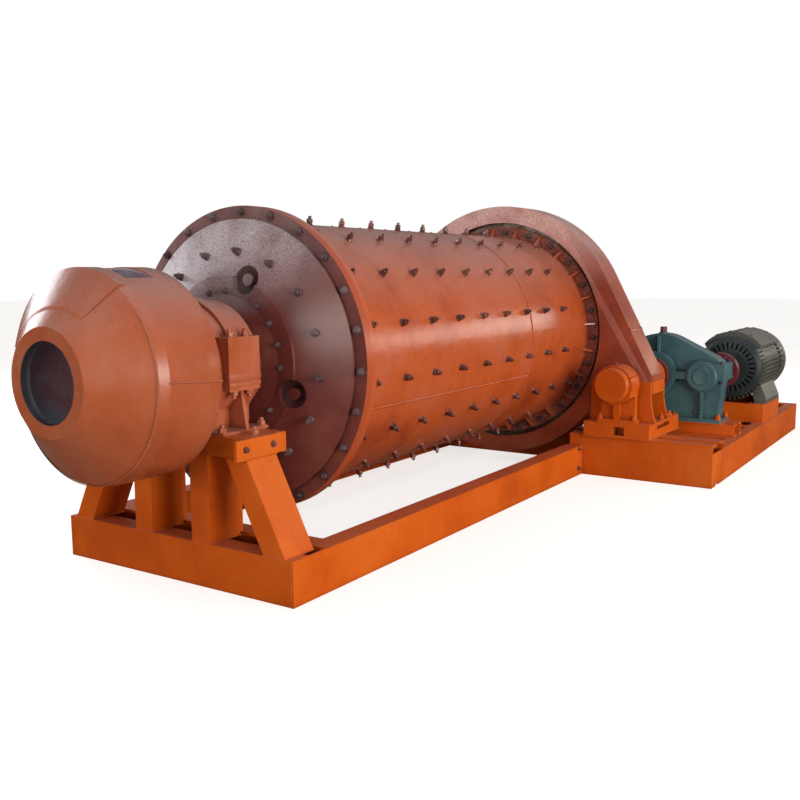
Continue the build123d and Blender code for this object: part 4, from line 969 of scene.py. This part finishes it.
# %% Seams round a foot and up a corner
def foot_seam(x0, x1, y0, y1, z, lift=1):
    """Corner beads round a rectangular foot. lift is +1 on top of a plate and -1 under one."""
    corners = [(x0, y0), (x1, y0), (x1, y1), (x0, y1)]
    centre = Vector(((x0 + x1) / 2, (y0 + y1) / 2, 0))
    found = []
    for (ax, ay), (bx, by) in zip(corners, corners[1:] + corners[:1]):
        out = (Vector(((ax + bx) / 2, (ay + by) / 2, 0)) - centre).normalized()
        found += seam(at(ax, ay, z), at(bx, by, z), out + Vector((0, 0, lift)))
    return found


def corner_seam(x, y, out):
    """A bead up the corner where two channels meet."""
    return seam(at(x, y, 0.006), at(x, y, 0.176), out)


# %% Seams of the base
BASE_TOP, BEAM_UNDER, BEAM_MIDDLE_Y, FRONT_X = 0.180, 0.540, 0.632, 2.327
SUPPORTS_X = ((-0.450, -0.280), (2.860, 3.030))
# The columns' feet and heads, then the struts': both sides across the mill, the height and the lift
SUPPORT_ENDS = (
    (0.115, 0.215, BASE_TOP, 1), (0.115, 0.215, BEAM_UNDER, -1),
    (0.493, 0.601, BASE_TOP, 1), (0.312, 0.420, BEAM_UNDER, -1),
)
places = []
for x0, x1 in SUPPORTS_X:
    for side in (-1, 1):
        for near, far, z, lift in SUPPORT_ENDS:
            places += foot_seam(x0, x1, side * near, side * far, z, lift)
for side in (-1, 1):
    places += corner_seam(-0.454, side * BEAM_MIDDLE_Y, (-1, 0, 0))
    places += corner_seam(3.034, side * BEAM_MIDDLE_Y, (1, 0, 0))
places += corner_seam(FRONT_X, -0.641, (-1, -1, 0))
places += seam(at(FRONT_X, -1.426, 0.250), at(FRONT_X, -0.563, 0.250), (-1, 0, 1), 0.010)
# The feet of the pinion's stand, the reducer's rails and the motor's stand
places += foot_seam(2.302, 2.875, -1.068, -0.658, 0.2505)
places += foot_seam(2.960, 3.175, -1.303, -0.616, 0.277)
places += foot_seam(3.660, 4.180, -1.418, -0.948, 0.200)
repeat(frame_ripple, places, "base_weld_beads", "base", "frame_paint", smooth=60)

# %% [markdown]
# ## Drive fasteners
# The long beam is bolted to the drive's base, so that the mill can be shipped in two lifts. The
# pinion's bearings, the reducer and the motor are bolted down too, so that they can be lined up.

# %% Nuts of the drive
PINION_Y, MOTOR_Y = pinion_y - drum_y, motor_y - drum_y
PINION_FOOT_Z, STAND_Z, RAIL_Z, MOTOR_FOOT_Z = 0.362, 0.340, 0.303, 0.353
RAILS_X = (2.9785, 3.1565)
places = []
for x in (2.317, 2.773):
    for shift in (-0.106, 0.106):
        places.append(stand(at(x, PINION_Y + shift, PINION_FOOT_Z), (0, 0, 1), shift * 9))
for x in (2.600, 2.760):
    places.append(stand(at(x, PINION_Y - 0.180, STAND_Z), (0, 0, 1), x))
for y in (-0.640, -1.010, -1.290):
    for x in RAILS_X:
        places.append(stand(at(x, y, RAIL_Z), (0, 0, 1), y * 9))
for x in (3.775, 4.085):
    for side in (-1, 1):
        places.append(stand(at(x, MOTOR_Y + side * 0.215, MOTOR_FOOT_Z), (0, 0, 1), x * 9))
repeat(frame_nut, places, "drive_nuts", "base", "frame_paint")

# %% Nuts of the reducer's joint and of the long beam
places = []
for x in RAILS_X:
    for y, z in ((-0.655, 0.601), (-1.046, 0.601), (-1.222, 0.661), (-1.300, 0.661)):
        places.append(stand(at(x, y, z), (0, 0, 1), y * 9))
    for y, z in ((-0.655, 0.553), (-1.046, 0.553), (-1.300, 0.553)):
        places.append(stand(at(x, y, z), (0, 0, -1), y * 9))
repeat(small_nut, places, "reducer_nuts", "base", "reducer_paint", shield_paint_in_painted_shade)
places = []
for z in (0.166, 0.045):
    places.append(stand(at(2.272, -0.641, z), (0, -1, 0), z * 9))
repeat(small_nut, places, "long_beam_nuts", "base", "frame_paint", bolt_paint)

# %% [markdown]
# ## Reducer's small parts
# A drain plug sits low in the case, a round glass shows the level of the oil, and the blind cover of
# each shaft has an eight-sided boss for a spanner. All are turned from bar and then cut, so each starts
# as a cylinder.

# %% Drain plug, octagon and level glass
def plug(point, towards, sides, radius, height, inset, recess=0.0):
    """A short many-sided boss with a bevelled edge, and a sunk middle if recess is given."""
    clear()
    bpy.ops.mesh.primitive_cylinder_add(
        vertices=sides, radius=radius, depth=height, location=(0, 0, height / 2)
    )
    piece = bpy.context.object
    bpy.ops.object.mode_set(mode="EDIT")
    pick(lambda centre, normal: normal.z > 0.9)
    bpy.ops.mesh.bevel(offset=radius * 0.08, segments=2)
    pick(lambda centre, normal: normal.z > 0.9 and centre.z > height * 0.99)
    bpy.ops.mesh.inset(thickness=inset)
    bpy.ops.transform.translate(value=(0, 0, -recess))
    only(piece)
    bpy.ops.object.transform_apply(location=True, rotation=True, scale=True)
    piece.matrix_world = stand(point, towards, radians(22.5))
    return piece


parts = [
    plug(at(2.9975, -1.150, 0.348), (-1, 0, 0), 12, 0.020, 0.010, 0.006),
    plug(at(2.9875, -1.150, 0.348), (-1, 0, 0), 6, 0.012, 0.010, 0.002),
    plug(at(2.944, MOTOR_Y, shaft_z), (-1, 0, 0), 8, 0.058, 0.007, 0.012, 0.003),
    plug(at(3.191, PINION_Y, shaft_z), (1, 0, 0), 8, 0.080, 0.007, 0.014, 0.003),
]
joined(parts, "reducer_plugs", "base", "reducer_paint")
parts = [plug(at(3.1375, -0.980, 0.400), (1, 0, 0), 20, 0.022, 0.012, 0.006, 0.004)]
joined(parts, "oil_level_glass", "base", "reducer_paint", fitting_steel)

# %% [markdown]
# ## Coupling bolts
# Each coupling is two flanges pulled together by eight bolts. On the fast one, the nuts stand on
# alternate sides, which keeps it in balance.

# %% Nuts of the couplings
LOW_FLANGE_FRONT, HIGH_MIDDLE, HIGH_HALF, COUPLING_R = 2.8885, 3.4075, 0.028, 0.098


def coupling_nut(x, y, side, i):
    """The place of one of eight nuts round a shaft. side is the way it points along the shaft."""
    angle = radians(22.5 + 45 * i)
    return stand(at(x, y + COUPLING_R * cos(angle), shaft_z + COUPLING_R * sin(angle)), (side, 0, 0), i)


places = [coupling_nut(LOW_FLANGE_FRONT, PINION_Y, -1, i) for i in range(8)]
repeat(small_nut, places, "low_speed_coupling_nuts", "pinion_line", "coupling_paint", bolt_paint)
places = []
for i in range(8):
    side = 1 if i % 2 else -1
    places.append(coupling_nut(HIGH_MIDDLE + side * HIGH_HALF, MOTOR_Y, side, i))
repeat(small_nut, places, "high_speed_coupling_nuts", "motor_line", "coupling_paint", bolt_paint)

# %% [markdown]
# ## Motor's small parts
# Sunk screws hold the top cover, a boss on top waits for its lifting eye, and a guard of wire rings
# on spokes lets the fan breathe.

# %% Boss and cover screws
MOTOR_MIDDLE, MOTOR_TOP, MOTOR_SKIN_R = 3.985, 0.824, 0.2465
parts = [plug(at(MOTOR_MIDDLE, MOTOR_Y, MOTOR_TOP - 0.002), (0, 0, 1), 20, 0.024, 0.006, 0.010, 0.005)]
joined(parts, "motor_eye_boss", "base", "motor_paint", shield_paint_in_painted_shade)

parts = []
for x, lift in ((3.740, 62), (3.740, 84), (4.230, 62), (4.230, 84)):
    for side in (-1, 1):
        up = Vector((0, side * cos(radians(lift)), sin(radians(lift))))
        parts.append(plug(at(x, MOTOR_Y, shaft_z) + MOTOR_SKIN_R * up, up, 16, 0.011, 0.005, 0.004, 0.004))
joined(parts, "motor_cover_screws", "base", "motor_paint", fitting_steel)

# %% Fan grille
grille_middle = at(4.440, MOTOR_Y, shaft_z)
parts = []
for radius in (0.040, 0.075, 0.110, 0.145, 0.180):
    clear()
    bpy.ops.mesh.primitive_torus_add(
        major_segments=64, minor_segments=6, major_radius=radius, minor_radius=0.003,
        location=grille_middle + Vector((0.0075, 0, 0)), rotation=(0, radians(90), 0),
    )
    wire = bpy.context.object
    bpy.ops.object.mode_set(mode="EDIT")
    bpy.ops.mesh.select_all(action="SELECT")
    bpy.ops.transform.resize(value=(1.3, 1, 1))
    only(wire)
    parts.append(wire)
spoke_foot = Matrix.Translation(grille_middle + Vector((0.0024, 0, 0)))
for i in range(8):
    angle = radians(22.5 + 45 * i)
    spoke = block("spoke", (-0.0025, -0.004, 0.018), (0.0025, 0.004, 0.192), 0.001)
    spoke.matrix_world = spoke_foot @ Matrix.Rotation(angle, 4, "X")
    parts.append(spoke)
parts.append(plug(grille_middle, (1, 0, 0), 24, 0.034, 0.009, 0.010, 0.002))
joined(parts, "motor_fan_grille", "base", "motor_paint", fitting_steel)

# %% [markdown]
# ## Guard's joints
# The guard comes in two halves, so that it can be lifted off over the drum. A flat bar is welded
# across the joint on its sloping flank, and short ones lie on its two plates on the far side.

# %% Joint bars of the guard
JOINT_Z, GUARD_FRONT, GUARD_BACK, BAR_HALF = 0.893, 2.436, 2.656, 0.011
LOW_Y, LOW_Z, HIGH_Y, HIGH_Z = -1.0262, 0.622, -0.7106, 1.2324
flank_y = LOW_Y + (JOINT_Z - LOW_Z) / (HIGH_Z - LOW_Z) * (HIGH_Y - LOW_Y)
bar = block("bar", (-0.108, -0.004, -BAR_HALF), (0.108, 0.002, BAR_HALF), 0.0015)
lean = Matrix.Rotation(-atan2(HIGH_Y - LOW_Y, HIGH_Z - LOW_Z), 4, "X")
bar.matrix_world = Matrix.Translation(at((GUARD_FRONT + GUARD_BACK) / 2, flank_y, JOINT_Z)) @ lean
parts = [bar]
for x, out in ((GUARD_FRONT + 0.010, -1), (GUARD_BACK, 1)):
    x0, x1 = sorted((x, x + out * 0.006))
    low, high = at(x0 - 0.001, 0.71, JOINT_Z - BAR_HALF), at(x1, 0.79, JOINT_Z + BAR_HALF)
    parts.append(block("bar", low, high, 0.0015))
joined(parts, "guard_joint_bars", "base", "frame_paint", guard_finish)

# %% [markdown]
# ## Corner plate of the drive's base
# The drive's front is made of two channels side by side. Seen from the end they would be open, so a
# plate as high as the near beam closes them, and carries that beam's face on to the corner.

# %% Corner plate
FRONT_END, NEAR_Y, NEAR_TOP = 2.572, -1.43322, 0.200
low, high = at(FRONT_X + 0.009, NEAR_Y + 0.0004, 0.010), at(FRONT_END, NEAR_Y + 0.007, NEAR_TOP)
joined([block("plate", low, high, 0.001)], "drive_corner_plate", "base", "frame_paint")

# %% [markdown]
# ## Greasing points
# A nipple on each pinion bearing takes the grease gun. It is a small hexagon with a rounded end, so
# it is a tiny nut with a long stud.

# %% Grease nipples
places = []
for x in (2.286, 2.804):
    places.append(stand(at(x, PINION_Y, 0.692), (0, 0, 1)))
nipple = nut(0.012, 0.008, 0.009, 0.002, 0.0035, 0.010)
repeat(nipple, places, "grease_nipples", "base", "frame_paint", fitting_steel)

# %% [markdown]
# ## Floor, light and sky
# The photograph was taken in a tall hall with open ends, and the machine was cut out on white. A weak
# sun as wide as the roof stands for the light from above. One lamp stands for the open side on the
# right, one for the gate in front of the feeder, a weak one for the corner between them, and a low one
# for the open end beyond the drive, which draws the bright band along the drum. A cool one lights the
# far side. The floor looks nearly white, but throws back as little light as the hall's concrete.

# %% Floor
clear()
bpy.ops.mesh.primitive_grid_add(x_subdivisions=8, y_subdivisions=8, size=80, location=(0, 0, -0.001))
floor = bpy.context.object
floor.name = "studio_floor"
paper, tree = blank("pale_floor_paint")
place = add(tree, "ShaderNodeTexCoord").outputs["Object"]
cloud = add(tree, "ShaderNodeTexNoise", {"Scale": 0.8, "Detail": 4, "Vector": place})
pale = add(tree, "ShaderNodeValToRGB", {
    "stops": [(0.3, hue("#BFBDBB")), (0.7, hue("#C2C0BE"))], "Fac": cloud,
})
bright = add(tree, "ShaderNodeBsdfPrincipled", {
    "Roughness": 0.9, "Emission Strength": 1.4, "Base Color": pale, "Emission Color": pale,
})
concrete = add(tree, "ShaderNodeBsdfDiffuse", {"Color": hue("#7E7468")})
looked_at = add(tree, "ShaderNodeLightPath").outputs["Is Camera Ray"]
shader = add(tree, "ShaderNodeMixShader", {0: looked_at, 1: concrete, 2: bright})
add(tree, "ShaderNodeOutputMaterial", {"Surface": shader})
floor.data.materials.append(paper)
print("floor:", floor.name)


# %% Lamps
def lamp(name, place, aim, width, height, power, colour):
    """A wide soft lamp at a place, aimed at a point."""
    light = bpy.data.lights.new(name, "AREA")
    light.shape = "RECTANGLE"
    light.size, light.size_y = width, height
    light.energy = power
    light.color = hue(colour)[:3]
    holder = bpy.data.objects.new(name, light)
    bpy.context.scene.collection.objects.link(holder)
    holder.matrix_world = stand(place, place - aim)


middle = at(1.4, -0.3, 0.9)
lamp("open_side_lamp", at(0.0, -7.8, 1.4), middle, 6.5, 2.4, 490, "#FFF8F0")
lamp("open_front_lamp", at(-9.5, 1.2, 2.0), at(-0.4, 0, 0.8), 5.0, 2.4, 270, "#FFFAF4")
lamp("corner_lamp", at(-7.0, -5.8, 2.0), at(-0.4, 0, 0.8), 3.0, 2.0, 85, "#FFFAF4")
lamp("open_end_lamp", at(9.0, -5.0, 1.9), at(1.2, -0.4, 1.0), 4.5, 1.2, 65, "#FFF6EA")
lamp("far_side_lamp", at(1.0, 7.5, 3.6), at(1.0, 0, 0.9), 6.0, 2.5, 320, "#F4F8FF")

roof = bpy.data.lights.new("roof_light", "SUN")
roof.energy = 0.2
roof.angle = radians(75)
roof_holder = bpy.data.objects.new("roof_light", roof)
bpy.context.scene.collection.objects.link(roof_holder)
roof_holder.matrix_world = stand(at(0, 0, 8), (-0.15, -0.1, 1))

# %% Sky
world = bpy.data.worlds.new("hall_sky")
bpy.context.scene.world = world
world.use_nodes = True
tree = world.node_tree
tree.nodes.clear()
direction = add(tree, "ShaderNodeTexCoord").outputs["Generated"]
height = add(tree, "ShaderNodeSeparateXYZ", {"Vector": direction}).outputs["Z"]
sky = add(tree, "ShaderNodeValToRGB", {
    "stops": [(0.0, hue("#6A5E54")), (0.08, hue("#857C74")), (0.4, hue("#C8C8C8")), (1.0, hue("#E4E8EE"))],
    "Fac": height,
})
glow = add(tree, "ShaderNodeBackground", {"Strength": 0.48, "Color": sky})
white = add(tree, "ShaderNodeBackground", {"Color": hue("#FFFFFF"), "Strength": 1.0})
seen = add(tree, "ShaderNodeLightPath").outputs["Is Camera Ray"]
backdrop = add(tree, "ShaderNodeMixShader", {0: seen, 1: glow, 2: white})
add(tree, "ShaderNodeOutputWorld", {"Surface": backdrop})
bpy.context.scene.view_settings.view_transform = "Standard"
print("lamps and sky are set")

# %% [markdown]
# ## Close
# The masters were only patterns, so they go.

# %% Remove the masters
for master in masters:
    bpy.data.objects.remove(master)
